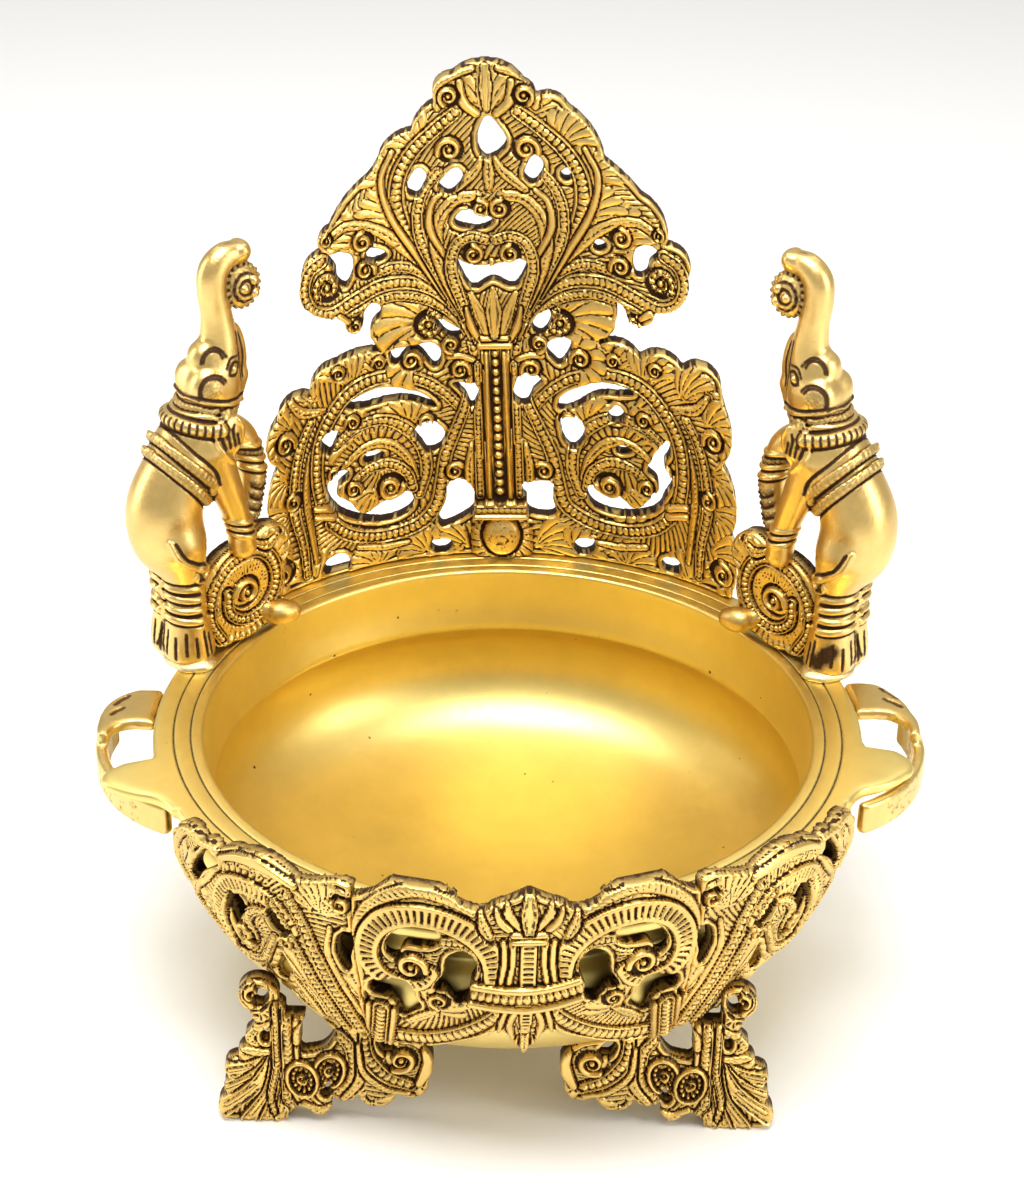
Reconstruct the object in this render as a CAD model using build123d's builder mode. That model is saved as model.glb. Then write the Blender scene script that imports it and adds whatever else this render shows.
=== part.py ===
from build123d import *
import os
from math import degrees, radians, sin, tan

# Brass urli: a wide bowl with a cast openwork crest behind it, an elephant and a scroll
# wheel on each side, a pierced apron in front, two strap handles and four openwork legs.
# Millimetres. The origin is on the floor under the middle of the bowl, +Z is up, the
# crest is at +Y and the apron at -Y.

# driving dimensions
RIM_HEIGHT = 110.0  # top face of the rim above the floor
MOUTH_RADIUS = 115.0  # inner edge of the rim
RIM_RADIUS = 134.0  # outer edge of the rim
RIM_THICKNESS = 5.0
WALL = 3.5  # bowl wall
GROOVE_RADII = (119.8, 126.2)  # the two turned lines on the rim
GROOVE_WIDTH = 0.9
GROOVE_DEPTH = 0.6

CREST_RADIUS = 129.5  # face of the crest that looks into the bowl
CREST_THICKNESS = 7.5
CREST_LEAN = 2.6  # degrees, the crest leans to the left
CREST_TURN = 1.6  # degrees, and is set round to the left

APRON_THICKNESS = 7.0
APRON_TURN = 3.5  # degrees, the apron is set round to the right
APRON_SEAM = 62.0  # arc length from its middle to where a side panel begins
SIDE_MIDDLE = 105.0  # arc length from its middle to the middle of a side panel

LEG_FACE = 103.0  # outer face of a leg plate from the bowl's middle plane
LEG_THICKNESS = 7.5
LEG_OFFSET = 2.0  # the left leg stands this much further out, the right one further in

ELEPHANT_FOOT = (129.0, 45.0)  # where an elephant stands
ELEPHANT_HEADING = 37.0  # degrees it faces inward of straight across
PAD_HEIGHT = 3.0  # braze under its feet
WHEEL_CENTRE = (107.5, 58.0, 22.0)  # from the rim's top face
WHEEL_RADIUS = 21.5
WHEEL_THICKNESS = 9.0
WHEEL_HEADING = 45.0

os.makedirs("parts", exist_ok=True)


# helpers

def wrap(points, radius):
    """Points given as arc length and height on a cylinder, as they look from its front."""
    return [(radius * sin(u / radius), v) for u, v in points]


def bow(start, through, end):
    """An arc through three points, or a straight line where they are in line."""
    along, across = Vector(*end) - Vector(*start), Vector(*through) - Vector(*start)
    if abs(along.X * across.Y - along.Y * across.X) < 0.3:
        Line(start, end)
    else:
        ThreePointArc(start, through, end)


def scallops(start, *arcs):
    """An outline of arcs, each given by the point that it passes through and its end."""
    here = start
    for through, end in zip(arcs[::2], arcs[1::2]):
        bow(here, through, end)
        here = end
    if (Vector(*here) - Vector(*start)).length > 0.01:
        Line(here, start)


def openwork(outline, holes, depth):
    """A pierced plate: outline in arcs, holes as closed curves, thick from y=0 back."""
    with BuildPart() as plate:
        with BuildSketch(Plane.XZ):
            with BuildLine():
                scallops(*outline)
            make_face()
            for hole in holes:
                with BuildLine():
                    Spline(*hole, periodic=True)
                make_face(mode=Mode.SUBTRACT)
        extrude(amount=depth)
    return plate.part


def ring_of(profile):
    """A solid turned about the bowl's axis from a profile of radius and height."""
    with BuildPart() as ring:
        with BuildSketch(Plane.XZ):
            with BuildLine():
                Polyline(*profile, close=True)
            make_face()
        revolve(axis=Axis.Z)
    return ring.part


def mirrored(points):
    return [(-u, v) for u, v in points]


def finish(part, name):
    part.label = name
    export_step(part, f"parts/{name}.step")
    return part


# bowl: flat rim, short neck, bulging belly, all turned, with a tongue of rim on each side

NECK_FOOT = (111.5, 84)  # the crease under the neck, inside
NECK_CREASE = (115.5, 85)  # and outside
BELLY_WIDEST = 66.0  # height of the widest part
BELLY_RADIUS = 125.0
BOTTOM_HEIGHT = 21.5
UNDER_RIM = RIM_HEIGHT - RIM_THICKNESS


def belly(radius, bottom, crease):
    """Half outline of the belly from the axis up to the crease, in three arcs."""
    shoulder = (radius - 16, BELLY_WIDEST - 26)
    ThreePointArc((0, bottom), (52, bottom + 2.2), (82, bottom + 8))
    ThreePointArc((82, bottom + 8), shoulder, (radius, BELLY_WIDEST))
    ThreePointArc((radius, BELLY_WIDEST), (radius - 1.5, BELLY_WIDEST + 9), crease)


def under_the_rim():
    """Half outline of the bowl's outside from the axis up to the rim's underside."""
    belly(BELLY_RADIUS, BOTTOM_HEIGHT, NECK_CREASE)
    Polyline(NECK_CREASE, (MOUTH_RADIUS + WALL, 97), (MOUTH_RADIUS + WALL, UNDER_RIM))


def tongue(outline):
    with BuildPart() as lobe:
        with BuildSketch(Plane.XY.offset(UNDER_RIM)):
            with BuildLine():
                scallops(*outline)
            make_face()
        extrude(amount=RIM_THICKNESS)
    return lobe.part


TONGUE_LEFT = ((-122, -24), (-128, -25), (-131.5, -27), (-133, -31), (-137, -32), (-142, -33.5),
               (-145, -36), (-148.5, -42), (-145, -47.5), (-138, -51.5), (-130, -54),
               (-124, -57.5), (-119.5, -63.5))
TONGUE_RIGHT = ((125, -8), (131, -9), (134.5, -11), (136, -15), (140, -15.5), (145, -15.8),
                (148.5, -18.5), (151, -25), (147, -32), (141, -37.5), (133, -41),
                (128, -45), (125, -51.5))

with BuildPart() as bowl:
    with BuildSketch(Plane.XZ):
        with BuildLine():
            under_the_rim()
            Polyline(
                (MOUTH_RADIUS + WALL, UNDER_RIM), (RIM_RADIUS - 1.5, UNDER_RIM),
                (RIM_RADIUS, UNDER_RIM + 1.5), (RIM_RADIUS, RIM_HEIGHT - 1),
                (RIM_RADIUS - 1, RIM_HEIGHT), (MOUTH_RADIUS, RIM_HEIGHT), (MOUTH_RADIUS, 98),
                NECK_FOOT,
            )
            belly(BELLY_RADIUS - WALL, BOTTOM_HEIGHT + WALL, NECK_FOOT)
            Line((0, BOTTOM_HEIGHT + WALL), (0, BOTTOM_HEIGHT))
        make_face()
    revolve(axis=Axis.Z)
    add(tongue(TONGUE_LEFT))
    add(tongue(TONGUE_RIGHT))
    with BuildSketch(Plane.XY.offset(RIM_HEIGHT)):
        for radius in GROOVE_RADII:
            Circle(radius + GROOVE_WIDTH / 2)
            Circle(radius - GROOVE_WIDTH / 2, mode=Mode.SUBTRACT)
    extrude(amount=-GROOVE_DEPTH, mode=Mode.SUBTRACT)
finish(bowl.part, "bowl")

# the bowl's outside filled in, for cutting what is brazed against it
with BuildPart() as bowl_envelope:
    with BuildSketch(Plane.XZ):
        with BuildLine():
            under_the_rim()
            Polyline(
                (MOUTH_RADIUS + WALL, UNDER_RIM), (RIM_RADIUS, UNDER_RIM),
                (RIM_RADIUS, RIM_HEIGHT), (0, RIM_HEIGHT), (0, BOTTOM_HEIGHT),
            )
        make_face()
    revolve(axis=Axis.Z)


# strap handles: a flat root in the rim's plane that turns down into a band under the tongue

BAND_HEIGHT = 13.0
BAND_THICKNESS = 4.5


def handle(root, band_outer, band_inner, name):
    with BuildPart() as strap:
        with BuildSketch(Plane.XY.offset(UNDER_RIM)):
            with BuildLine():
                scallops(*root)
            make_face()
        extrude(amount=RIM_THICKNESS)
        with BuildSketch(Plane.XY.offset(UNDER_RIM - BAND_HEIGHT)):
            with BuildLine():
                ThreePointArc(*band_outer)
                Line(band_outer[2], band_inner[2])
                ThreePointArc(*band_inner)
                Line(band_inner[0], band_outer[0])
            make_face()
        extrude(amount=BAND_HEIGHT)
        add(bowl_envelope.part, mode=Mode.SUBTRACT)
    finish(strap.part, name)


handle(
    root=((-131, 18), (-137, 18.4), (-143, 18), (-151, 11.5), (-155, 0), (-155.4, -7), (-154, -14),
          (-152, -14), (-150, -14), (-148, -8), (-142, -5), (-136, -5.4), (-131, -7)),
    band_outer=((-153, 8), (-152, -26), (-124, -55)),
    band_inner=((-148.7, 7), (-147.5, -24.5), (-121, -51.5)),
    name="handle_left",
)
handle(
    root=((131, 31.5), (137, 32.2), (143, 31.5), (151, 22), (155, 11), (156.8, 3), (156, -4),
          (154, -4), (152, -4), (151, 5), (146, 10.5), (140, 11), (131, 9)),
    band_outer=((154.5, 18), (156, -17), (131, -47)),
    band_inner=((150, 17), (151.4, -15.5), (128, -43.6)),
    name="handle_right",
)


# crest: one openwork casting that stands on the rim behind the bowl

def crest_points(points):
    """Crest layout to what is seen from the front, with its lean and its turn."""
    lean, turn = tan(radians(CREST_LEAN)), radians(CREST_TURN) * CREST_RADIUS
    placed = [(u - lean * v - turn, v + RIM_HEIGHT) for u, v in points]
    return wrap(placed, CREST_RADIUS)


CREST_OUTLINE = [
    (-104, 0), (-108, 9), (-104, 18), (-107, 28), (-105, 38), (-104, 50), (-98, 59),
    (-104, 68), (-97, 79), (-89, 86.5), (-79, 83), (-77, 93), (-68, 96), (-58, 98.5),
    (-47, 97.5), (-49, 99.5), (-50, 102), (-51.5, 107), (-48, 112), (-46, 116), (-50, 119.5),
    (-53.5, 115), (-54, 110.5), (-58, 107.5), (-62, 111), (-64, 115), (-68, 116),
    (-79, 122.5), (-80.5, 135), (-76.5, 142.5), (-69.5, 144.5), (-72, 149), (-67, 153.5),
    (-60, 163), (-50, 171), (-46, 175), (-43, 181), (-38, 186), (-30, 188.5), (-26.5, 195),
    (-20, 199.5), (-20, 206), (-13, 210), (-7, 213.5), (0, 214.5), (8, 213), (15, 206.5),
    (18.5, 204), (19, 200.5), (25.5, 202), (32, 197), (41, 189), (46, 177), (53.5, 171.5),
    (61, 164.5), (68.5, 159), (71.5, 152), (72, 148.5), (70, 145.5), (79, 144), (80.5, 134),
    (77, 121.5), (66, 116.5), (60, 109.5), (54, 112.5), (53, 116.5), (49.5, 119),
    (50.5, 114.5), (49.5, 110), (48, 104.5), (43, 101.5), (42.5, 100.5), (43, 99.5), (52, 101),
    (60, 95.5), (70, 99.5), (79, 94.5), (90, 98.5), (97, 91), (98.5, 85), (101, 79),
    (102.5, 68), (98, 59), (105.5, 46), (104, 30), (107, 15), (104, 0),
]

CREST_HOLES = [
    # upper fan
    [(-66.5, 143), (-57, 140), (-58, 132), (-61, 128), (-64.5, 131), (-65.5, 137)],
    [(-51.5, 139), (-47, 142), (-42.5, 138.5), (-46, 136.5)],
    [(-32, 163), (-31, 170), (-27, 173), (-24.5, 170), (-26, 165), (-29, 161.5)],
    [(-20, 165), (-17, 169.5), (-12, 172), (-10, 169), (-12, 164), (-16, 161.5)],
    [(-1.5, 176), (-4, 181), (-3, 188), (0.5, 193), (4, 189.5), (7.5, 182), (3.5, 177)],
    [(14, 168), (15, 173), (19, 177), (21.5, 174), (20.5, 168.5), (17, 165.5)],
    [(29, 171.5), (31.5, 172), (32, 168), (30, 167.5)],
    [(-14, 151), (-10, 154.5), (-4, 152.5), (1.5, 149.5), (-3, 146.5), (-10, 147)],
    [(-13.5, 134), (-9, 131.3), (0, 131), (8, 132.5), (13.5, 132.5), (12, 126), (8, 121.5),
     (0, 124.5), (-7, 121), (-11.5, 126)],
    [(58.5, 131), (57, 138), (59, 143), (66, 144), (67.5, 141), (64.5, 137.5), (62.5, 132)],
    [(41, 142), (43.5, 144), (46, 142), (43.5, 139.5)],
    # waist
    [(-42.5, 92), (-43, 97), (-35, 98), (-24, 97.5), (-22, 92), (-24.5, 87.5), (-28.5, 92),
     (-32, 96), (-37, 95)],
    [(-21.5, 108.5), (-14, 101), (-19.5, 101.5)],
    [(16, 103), (17, 109), (22.5, 112), (22.5, 106), (19, 101.5)],
    [(23, 91), (23.5, 99), (31, 99.3), (30.5, 94.5), (26, 88.3)],
    # beside the stem
    [(-17.5, 80), (-12, 79.5), (-8, 78), (-8, 72), (-10.5, 68.5), (-13, 74)],
    [(-20.5, 34.5), (-13, 33.5), (-10.5, 27), (-12, 20.5), (-18, 16.5), (-25.5, 14.5),
     (-26, 20), (-22.5, 28)],
    [(9, 81.5), (14, 83), (19, 80), (15.5, 76), (12, 70), (8.5, 70.5)],
    [(10, 33.5), (16, 34.5), (22.5, 33.5), (22, 27), (23, 20), (17, 18.3), (11.5, 20.5),
     (9.5, 27)],
    # left roundel
    [(-64, 76.5), (-57, 79.7), (-47, 81.3), (-37, 79), (-28, 74), (-25, 70), (-33, 73),
     (-42, 75), (-50, 74.7), (-57, 74.3)],
    [(-34, 61), (-24, 61), (-22, 57), (-26, 50), (-29.5, 49.5), (-32.5, 54)],
    [(-75, 58.5), (-71, 67), (-68.5, 67), (-70, 61), (-73, 56.5)],
    [(-57.5, 50.5), (-53, 53.5), (-48, 51.5), (-52, 49)],
    [(-71, 46.5), (-75.5, 41), (-74, 34), (-68, 27), (-60, 22.7), (-50, 20.3), (-42, 21.7),
     (-37, 26), (-38.5, 32), (-46, 30.3), (-53, 28), (-58.5, 25.7), (-62, 28.5), (-65, 33),
     (-70, 36.5), (-70, 41), (-66, 43.5), (-64.5, 46.5)],
    # right roundel
    [(25, 69.5), (26.5, 74), (33, 78.5), (41, 82), (50, 82), (57, 79.7), (51, 77.7),
     (44, 77), (37, 73.5), (31, 69.3)],
    [(47, 66), (47, 71), (50, 73), (53, 69), (50, 65.5)],
    [(26, 60), (29, 66), (33, 65), (36, 61), (35.5, 56), (30.5, 51), (27, 55)],
    [(49.5, 53.5), (52.5, 56), (56, 54), (53, 52)],
    [(64, 50), (68, 57.5), (72, 62), (73, 56), (70.5, 51), (74.5, 44), (71.5, 37), (68.5, 30.5),
     (61, 25.5), (51, 23.3), (42, 24.3), (37.3, 28.5), (37.5, 35), (42, 33), (47, 31.3),
     (52, 31), (57, 27.5), (61.5, 30.5), (65, 35), (68.3, 40), (66, 44), (63, 46.5)],
    # along the foot
    [(-79, 3.5), (-76, 9), (-70, 9.7), (-66.5, 5.5), (-67, 2), (-73, 1.7)],
    [(-30.5, 6), (-29, 2.5), (-23, 2.3), (-21, 6), (-25.5, 8)],
    [(30.5, 6.5), (34.5, 9.7), (39.5, 9), (38.5, 4), (33, 2.3)],
    [(70, 4), (71.5, 8.2), (77.5, 8.5), (78.5, 4), (74, 2)],
]

CREST_BACK = CREST_RADIUS + CREST_THICKNESS
BOSS_DEPTH = 7.0  # how far the stem's boss stands out of the crest's face
STEM_DEPTH = 2.5


def upright_ring(inner, outer, height):
    bottom, top = RIM_HEIGHT, RIM_HEIGHT + height
    return ring_of([(inner, bottom), (outer, bottom), (outer, top), (inner, top)])


crest_shell = upright_ring(CREST_RADIUS, CREST_BACK, 220)
boss_shell = upright_ring(CREST_RADIUS - BOSS_DEPTH, CREST_BACK, 19)
collar_shell = upright_ring(CREST_RADIUS - BOSS_DEPTH + 1, CREST_BACK, 27)
stem_shell = upright_ring(CREST_RADIUS - STEM_DEPTH, CREST_BACK, 88)

with BuildPart() as crest:
    add(openwork(crest_points(CREST_OUTLINE), map(crest_points, CREST_HOLES), -150))
    add(crest_shell, mode=Mode.INTERSECT)
    # tapering stem, its collar and the ribbed boss that it grows from
    for half_foot, half_top, base, top, shell in (
        (13, 11.5, 0, 19, boss_shell), (11, 11, 19, 27, collar_shell), (6.5, 5, 27, 88, stem_shell),
    ):
        raised = [(-half_foot, base), (half_foot, base), (half_top, top), (-half_top, top)]
        with BuildPart(mode=Mode.PRIVATE) as block:
            with BuildSketch(Plane.XZ):
                with BuildLine():
                    Polyline(*crest_points(raised), close=True)
                make_face()
            extrude(amount=-150)
            add(shell, mode=Mode.INTERSECT)
        add(block.part)
finish(crest.part, "back_crest")


# apron: three pierced panels that hang from the rim in front, on one turned surface

APRON_FACE = [(138, 26), (138, 0), (135, -18), (129, -36), (121, -56), (116, -68)]
apron_outside = [(r + 1, RIM_HEIGHT + v) for r, v in APRON_FACE]
apron_inside = [(r + 1 - APRON_THICKNESS, RIM_HEIGHT + v) for r, v in APRON_FACE]
apron_shell = ring_of(apron_outside + apron_inside[::-1]) - bowl_envelope.part
FACE_RADIUS = APRON_FACE[0][0]
SEAM_ANGLE = degrees(APRON_SEAM / FACE_RADIUS)


def beyond(angle, side):
    """Half space on one side of the upright plane through the axis and this apron angle."""
    return Rot(Z=APRON_TURN + angle) * Pos(200 * side, 0, 0) * Box(400, 400, 500)


def face_radius(v):
    """Radius of the apron's face at this height from the rim's top face."""
    for (r0, v0), (r1, v1) in zip(APRON_FACE, APRON_FACE[1:]):
        if v >= v1:
            break
    return r1 + (r0 - r1) * (v - v1) / (v0 - v1)


def apron_panel(outline, holes, middle, seams, name):
    """A panel whose middle is at this arc length, laid out flat from its own middle.

    seams are the half spaces that its neighbours take from it."""
    angle = middle / FACE_RADIUS

    def placed(points):
        return [(face_radius(v) * sin((u - middle) / FACE_RADIUS), v + RIM_HEIGHT) for u, v in points]

    plate = openwork(placed(outline), [placed(hole) for hole in holes], -160)
    turned = Rot(Z=180 + APRON_TURN + degrees(angle)) * mirror(plate, about=Plane.YZ)
    with BuildPart() as panel:
        add(apron_shell)
        for seam in seams:
            add(seam, mode=Mode.SUBTRACT)
        add(turned, mode=Mode.INTERSECT)
    return finish(panel.part, name)


CENTRE_HALF = [
    (0, -62), (3.5, -55), (9, -47), (20, -52), (36, -59), (50, -62), (66, -62), (66, -15),
    (66, 9), (60, 10), (52, 14), (38, 22), (24, 15), (19, 12.5), (15, 11.5), (11, 14.5),
    (8, 15.5), (4, 17.5), (0, 19.5),
]
CENTRE_HOLES = [
    [(30, 1), (38, 3.5), (45, 0.5), (50, -7), (48, -13), (44.5, -13), (43, -7.5), (36, -6),
     (31, -4)],
    [(17.5, -10), (22, -5.5), (28, -9.5), (29.5, -17), (33, -25.5), (29, -26), (25, -32),
     (21.5, -30), (19.5, -20)],
    [(40, -29), (44, -22), (51, -24), (57.5, -28), (57.5, -34), (50.5, -34.5), (46, -43.5),
     (42.5, -41), (38, -36)],
]
SIDE_OUTLINE = [
    (58, -62), (58, -25), (58, 9), (62, 13), (68, 14.5), (73, 13), (78, 11), (82, 10), (86, 9),
    (97, 13), (110, 10), (117, 8), (122, 3.5), (126, 5.5), (131, 3), (142, 4), (151, -4),
    (158, -14), (153, -26), (148, -35), (138, -40), (126, -46), (112, -48), (105, -49),
    (98, -53), (88, -61), (76, -62), (67, -62), (58, -62),
]
SIDE_HOLES = [
    [(63.5, -6), (66, -6.3), (70, -12), (70, -20), (66.5, -26), (64, -23), (63, -15)],
    [(87, -14), (91, -12.5), (95.5, -8), (98.5, -10), (97, -16.5), (92, -18.5)],
    [(111.5, -11), (116, -10), (120.5, -20), (121, -31), (118, -36), (113.5, -34),
     (117, -28), (112, -20)],
    [(93, -35), (95.5, -29), (98.5, -36), (102, -44), (99, -46), (95, -41)],
    [(123.5, 0.5), (128, 1.5), (134, -4), (142, -13), (145, -21), (140, -20), (131, -10)],
]

centre = apron_panel(
    CENTRE_HALF + mirrored(CENTRE_HALF[:-1])[::-1], CENTRE_HOLES + list(map(mirrored, CENTRE_HOLES)),
    middle=0, seams=[beyond(SEAM_ANGLE, 1), beyond(-SEAM_ANGLE, -1)], name="apron_centre",
)
right = apron_panel(
    SIDE_OUTLINE, SIDE_HOLES,
    middle=SIDE_MIDDLE, seams=[beyond(SEAM_ANGLE, -1)], name="apron_right",
)
left = apron_panel(
    mirrored(SIDE_OUTLINE), list(map(mirrored, SIDE_HOLES)),
    middle=-SIDE_MIDDLE, seams=[beyond(-SEAM_ANGLE, 1)], name="apron_left",
)


# legs: openwork plates brazed under the belly, fan toe outward, beaded scroll inward

LEG_OUTLINE = [
    (88, -46), (92.5, -52), (89.5, -60), (87, -64), (89, -69), (90.5, -73), (88, -76),
    (93, -78), (93, -82), (98.5, -86), (95, -91), (99, -94), (97, -98), (101.5, -104), (98, -110),
    (90, -110), (81, -110), (77, -109), (74, -105), (71, -104),
    (68, -104.5), (66, -107.5), (62, -107), (60, -103), (60, -99), (55, -101), (50, -97),
    (48, -102), (42, -103), (38, -101), (36, -97), (28, -98), (25, -90), (23, -81), (29, -73),
    (33, -69), (39, -64), (46, -54), (56, -47), (72, -44), (88, -46),
]
LEG_HOLES = [
    [(58, -68), (61.5, -63.5), (66.5, -61), (70, -65), (70.3, -72), (70, -79), (66, -78.5),
     (63, -77.5), (59.5, -73)],
    [(83.5, -68.5), (84.8, -71.5), (83.5, -74.5), (81.7, -72)],
    [(82.5, -50), (82.3, -55), (84.5, -58), (87, -56.5), (85.5, -51)],
    [(37.5, -74), (37, -78), (39.5, -79), (43, -74.5), (42.5, -71.5), (40, -71)],
    [(60.5, -93), (59.5, -96.5), (62.5, -100), (64, -97)],
]
APRON_BOTTOM = RIM_HEIGHT - 62
outside_apron = ring_of([(150, APRON_BOTTOM), (150, 135)] + apron_inside[:-1] + [(112, APRON_BOTTOM)])
behind_apron = outside_apron & (Pos(0, -100, 0) * Box(156, 200, 400))


def leg(side, end, name):
    """side is +1 on the right, end is -1 at the front."""
    offset = -LEG_OFFSET if side > 0 else LEG_OFFSET

    def placed(points):
        return [(side * (x + offset), v + RIM_HEIGHT) for x, v in points]

    plate = openwork(placed(LEG_OUTLINE), [placed(hole) for hole in LEG_HOLES], LEG_THICKNESS)
    near = LEG_THICKNESS - LEG_FACE if end < 0 else LEG_FACE
    with BuildPart() as foot:
        add(Pos(0, near, 0) * plate)
        add(bowl_envelope.part, mode=Mode.SUBTRACT)
        if end < 0:
            for neighbour in (behind_apron, centre, left, right):
                add(neighbour, mode=Mode.SUBTRACT)
    return finish(max(foot.solids(), key=lambda solid: solid.volume), name)


leg(-1, -1, "leg_front_left")
leg(1, -1, "leg_front_right")
leg(-1, 1, "leg_rear_left")
leg(1, 1, "leg_rear_right")


# elephants: upright on the hind feet, forelegs on the scroll wheel, trunk raised
# (forward, sideways, height) above the rim; sideways is negative on the side seen in front

def limb(stops):
    """Tapering round limb through stops of (point, radius)."""
    with BuildPart() as form:
        for (start, r0), (end, r1) in zip(stops, stops[1:]):
            run = Vector(*end) - Vector(*start)
            bone = Plane(origin=start, z_dir=run).location
            upright = (Align.CENTER, Align.CENTER, Align.MIN)
            with Locations(bone):
                Cone(r0, r1, run.length, align=upright)
            with Locations(Location(end)):
                Sphere(r1)
    return form.part


def egg(centre, along, half_length, radius):
    """Solid of revolution of an ellipse whose long axis points along a direction."""
    with BuildPart() as form:
        with BuildSketch(Plane.XZ):
            Ellipse(radius, half_length)
            with Locations((-radius, 0)):
                Rectangle(2 * radius, 4 * half_length, mode=Mode.SUBTRACT)
        revolve(axis=Axis.Z)
    return Plane(origin=centre, z_dir=along).location * form.part


def collar(centre, along, radius, tube):
    ring = Torus(radius, tube, mode=Mode.PRIVATE)
    return Plane(origin=centre, z_dir=along).location * ring


BACK_SLOPE = (0.45, 0, 1)
GIRTH_SLOPE = (0.95, 0, 1)


def elephant_form(side):
    """The near side, which the front view sees, is at negative t on the left elephant."""
    near = side  # -1 on the left, +1 on the right
    with BuildPart() as form:
        for t in (-5, 5):
            add(limb([((0, t, 14), 8.5), ((0.5, t, 30), 7.6), ((-2, t * 1.3, 48), 10.5)]))
            with Locations((0.5, t, 0)):
                Cone(9.3, 8.2, 14, align=(Align.CENTER, Align.CENTER, Align.MIN))
            add(collar((0.3, t, 17), (0, 0, 1), 8.0, 1.6))
            add(collar((0.3, t, 23), (0, 0, 1), 7.8, 1.6))
        add(egg((-3, 0, 61), (0.1, 0, 1), 24, 15.5))
        add(egg((6, 0, 79), BACK_SLOPE, 22, 14))
        add(egg((13, 0, 95), BACK_SLOPE, 12, 13))
        add(egg((19, 0, 108), (0.25, 0, 1), 15, 12))
        for t in (-5.5, 5.5):
            with Locations((13.5, t, 112)):
                Sphere(6.5)
        with Locations((15.5, 0, 120)):
            Sphere(6.5)
        add(collar((15, 0, 96), BACK_SLOPE, 11.8, 2.2))
        add(collar((12.5, 0, 91), BACK_SLOPE, 12.6, 2.2))
        add(collar((2, 0, 75), GIRTH_SLOPE, 15, 2.2))
        add(collar((4.5, 0, 81), GIRTH_SLOPE, 15, 2.2))
        # trunk and the lotus that its tip holds
        add(limb([((22, 0, 116), 9), ((25.5, 0, 128), 7), ((26, 0, 140), 6.2), ((28, 0, 150), 5.6),
              ((33, 0, 157), 4.8), ((37, 0, 156.5), 4.2)]))
        with Locations((37.5, 0, 145)):
            Sphere(8)
        # lower lip and tusks
        add(limb([((30, 0, 104), 5), ((35, 0, 112), 4), ((37, 0, 120), 2.6)]))
        for t in (-5, 5):
            add(limb([((30, t, 108), 3), ((35, t, 116), 2.2), ((37, t, 123), 1.2)]))
        # forelegs: one straight down on the wheel, the other bent and reaching further
        add(limb([((14, 8 * near, 80), 6.5), ((19.5, 8 * near, 62), 5.4), ((24, 8 * near, 46), 4.6)]))
        add(limb([((15, -8 * near, 82), 6.5), ((33, -8 * near, 80), 5.4), ((38, -8 * near, 66), 4.4)]))
    return form.part


def heading(side, point, degrees_inward, height):
    """Place of something that faces inward and to the back from one side of the rim."""
    x, y = point
    turn = degrees_inward if side < 0 else 180 - degrees_inward
    return Pos(side * x, y, height) * Rot(Z=turn)


def wheel_form(side):
    """Scroll wheel with its sunk spiral on the face that the front view sees, and its knob."""
    face = -side * WHEEL_THICKNESS / 2
    with BuildPart() as form:
        with BuildSketch(Plane.XZ):
            Circle(WHEEL_RADIUS)
            with Locations((-9, -9)):
                Circle(12)
            with Locations((14, 14)):
                Circle(11)
        extrude(amount=WHEEL_THICKNESS / 2, both=True)
        with BuildSketch(Plane.XZ.offset(face)):
            with Locations((1, -1)):
                Circle(14.5)
                Circle(8.5, mode=Mode.SUBTRACT)
        extrude(amount=2.2 * side, mode=Mode.SUBTRACT)
        add(limb([((12, 0, -13), 6), ((16, 9 * side, -13.5), 5.6)]))
    return form.part


rim_top = Pos(0, 0, RIM_HEIGHT) * Box(400, 400, 60, align=(Align.CENTER, Align.CENTER, Align.MAX))
floor_of_feet = RIM_HEIGHT + PAD_HEIGHT

for side, word in ((-1, "left"), (1, "right")):
    body = heading(side, ELEPHANT_FOOT, ELEPHANT_HEADING, floor_of_feet) * elephant_form(side)
    x, y, z = WHEEL_CENTRE
    rolling = heading(side, (x, y), WHEEL_HEADING, RIM_HEIGHT + z) * wheel_form(side)
    with BuildPart() as pad:
        with Locations((side * ELEPHANT_FOOT[0], ELEPHANT_FOOT[1] - 3, RIM_HEIGHT)):
            Cylinder(15, PAD_HEIGHT, align=(Align.CENTER, Align.CENTER, Align.MIN))
    with BuildPart() as scroll:
        add(rolling)
        for neighbour in (rim_top, body, pad.part, crest_shell):
            add(neighbour, mode=Mode.SUBTRACT)
    finish(body, f"elephant_{word}")
    finish(scroll.part, f"scroll_wheel_{word}")
    finish(pad.part, f"braze_pad_{word}")
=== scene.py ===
import math
from functools import partialmethod

import bpy
import numpy as np
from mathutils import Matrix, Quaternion, Vector
from mathutils.bvhtree import BVHTree


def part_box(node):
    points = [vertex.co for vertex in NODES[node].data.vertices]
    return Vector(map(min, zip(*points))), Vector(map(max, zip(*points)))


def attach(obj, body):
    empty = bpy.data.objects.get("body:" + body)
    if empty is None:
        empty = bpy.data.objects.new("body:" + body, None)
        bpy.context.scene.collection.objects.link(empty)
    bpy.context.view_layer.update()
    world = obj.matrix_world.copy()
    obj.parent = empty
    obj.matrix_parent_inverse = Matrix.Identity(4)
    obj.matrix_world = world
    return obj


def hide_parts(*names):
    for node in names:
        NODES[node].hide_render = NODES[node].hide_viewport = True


# The looks of a brass urli bowl around its CAD frame. Lengths are in millimetres until a
# mesh is made; the frame is in metres. Chased relief is painted as height on a flat layout
# (u across, v up), meshed, and laid on the surface of its CAD casting.

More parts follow.
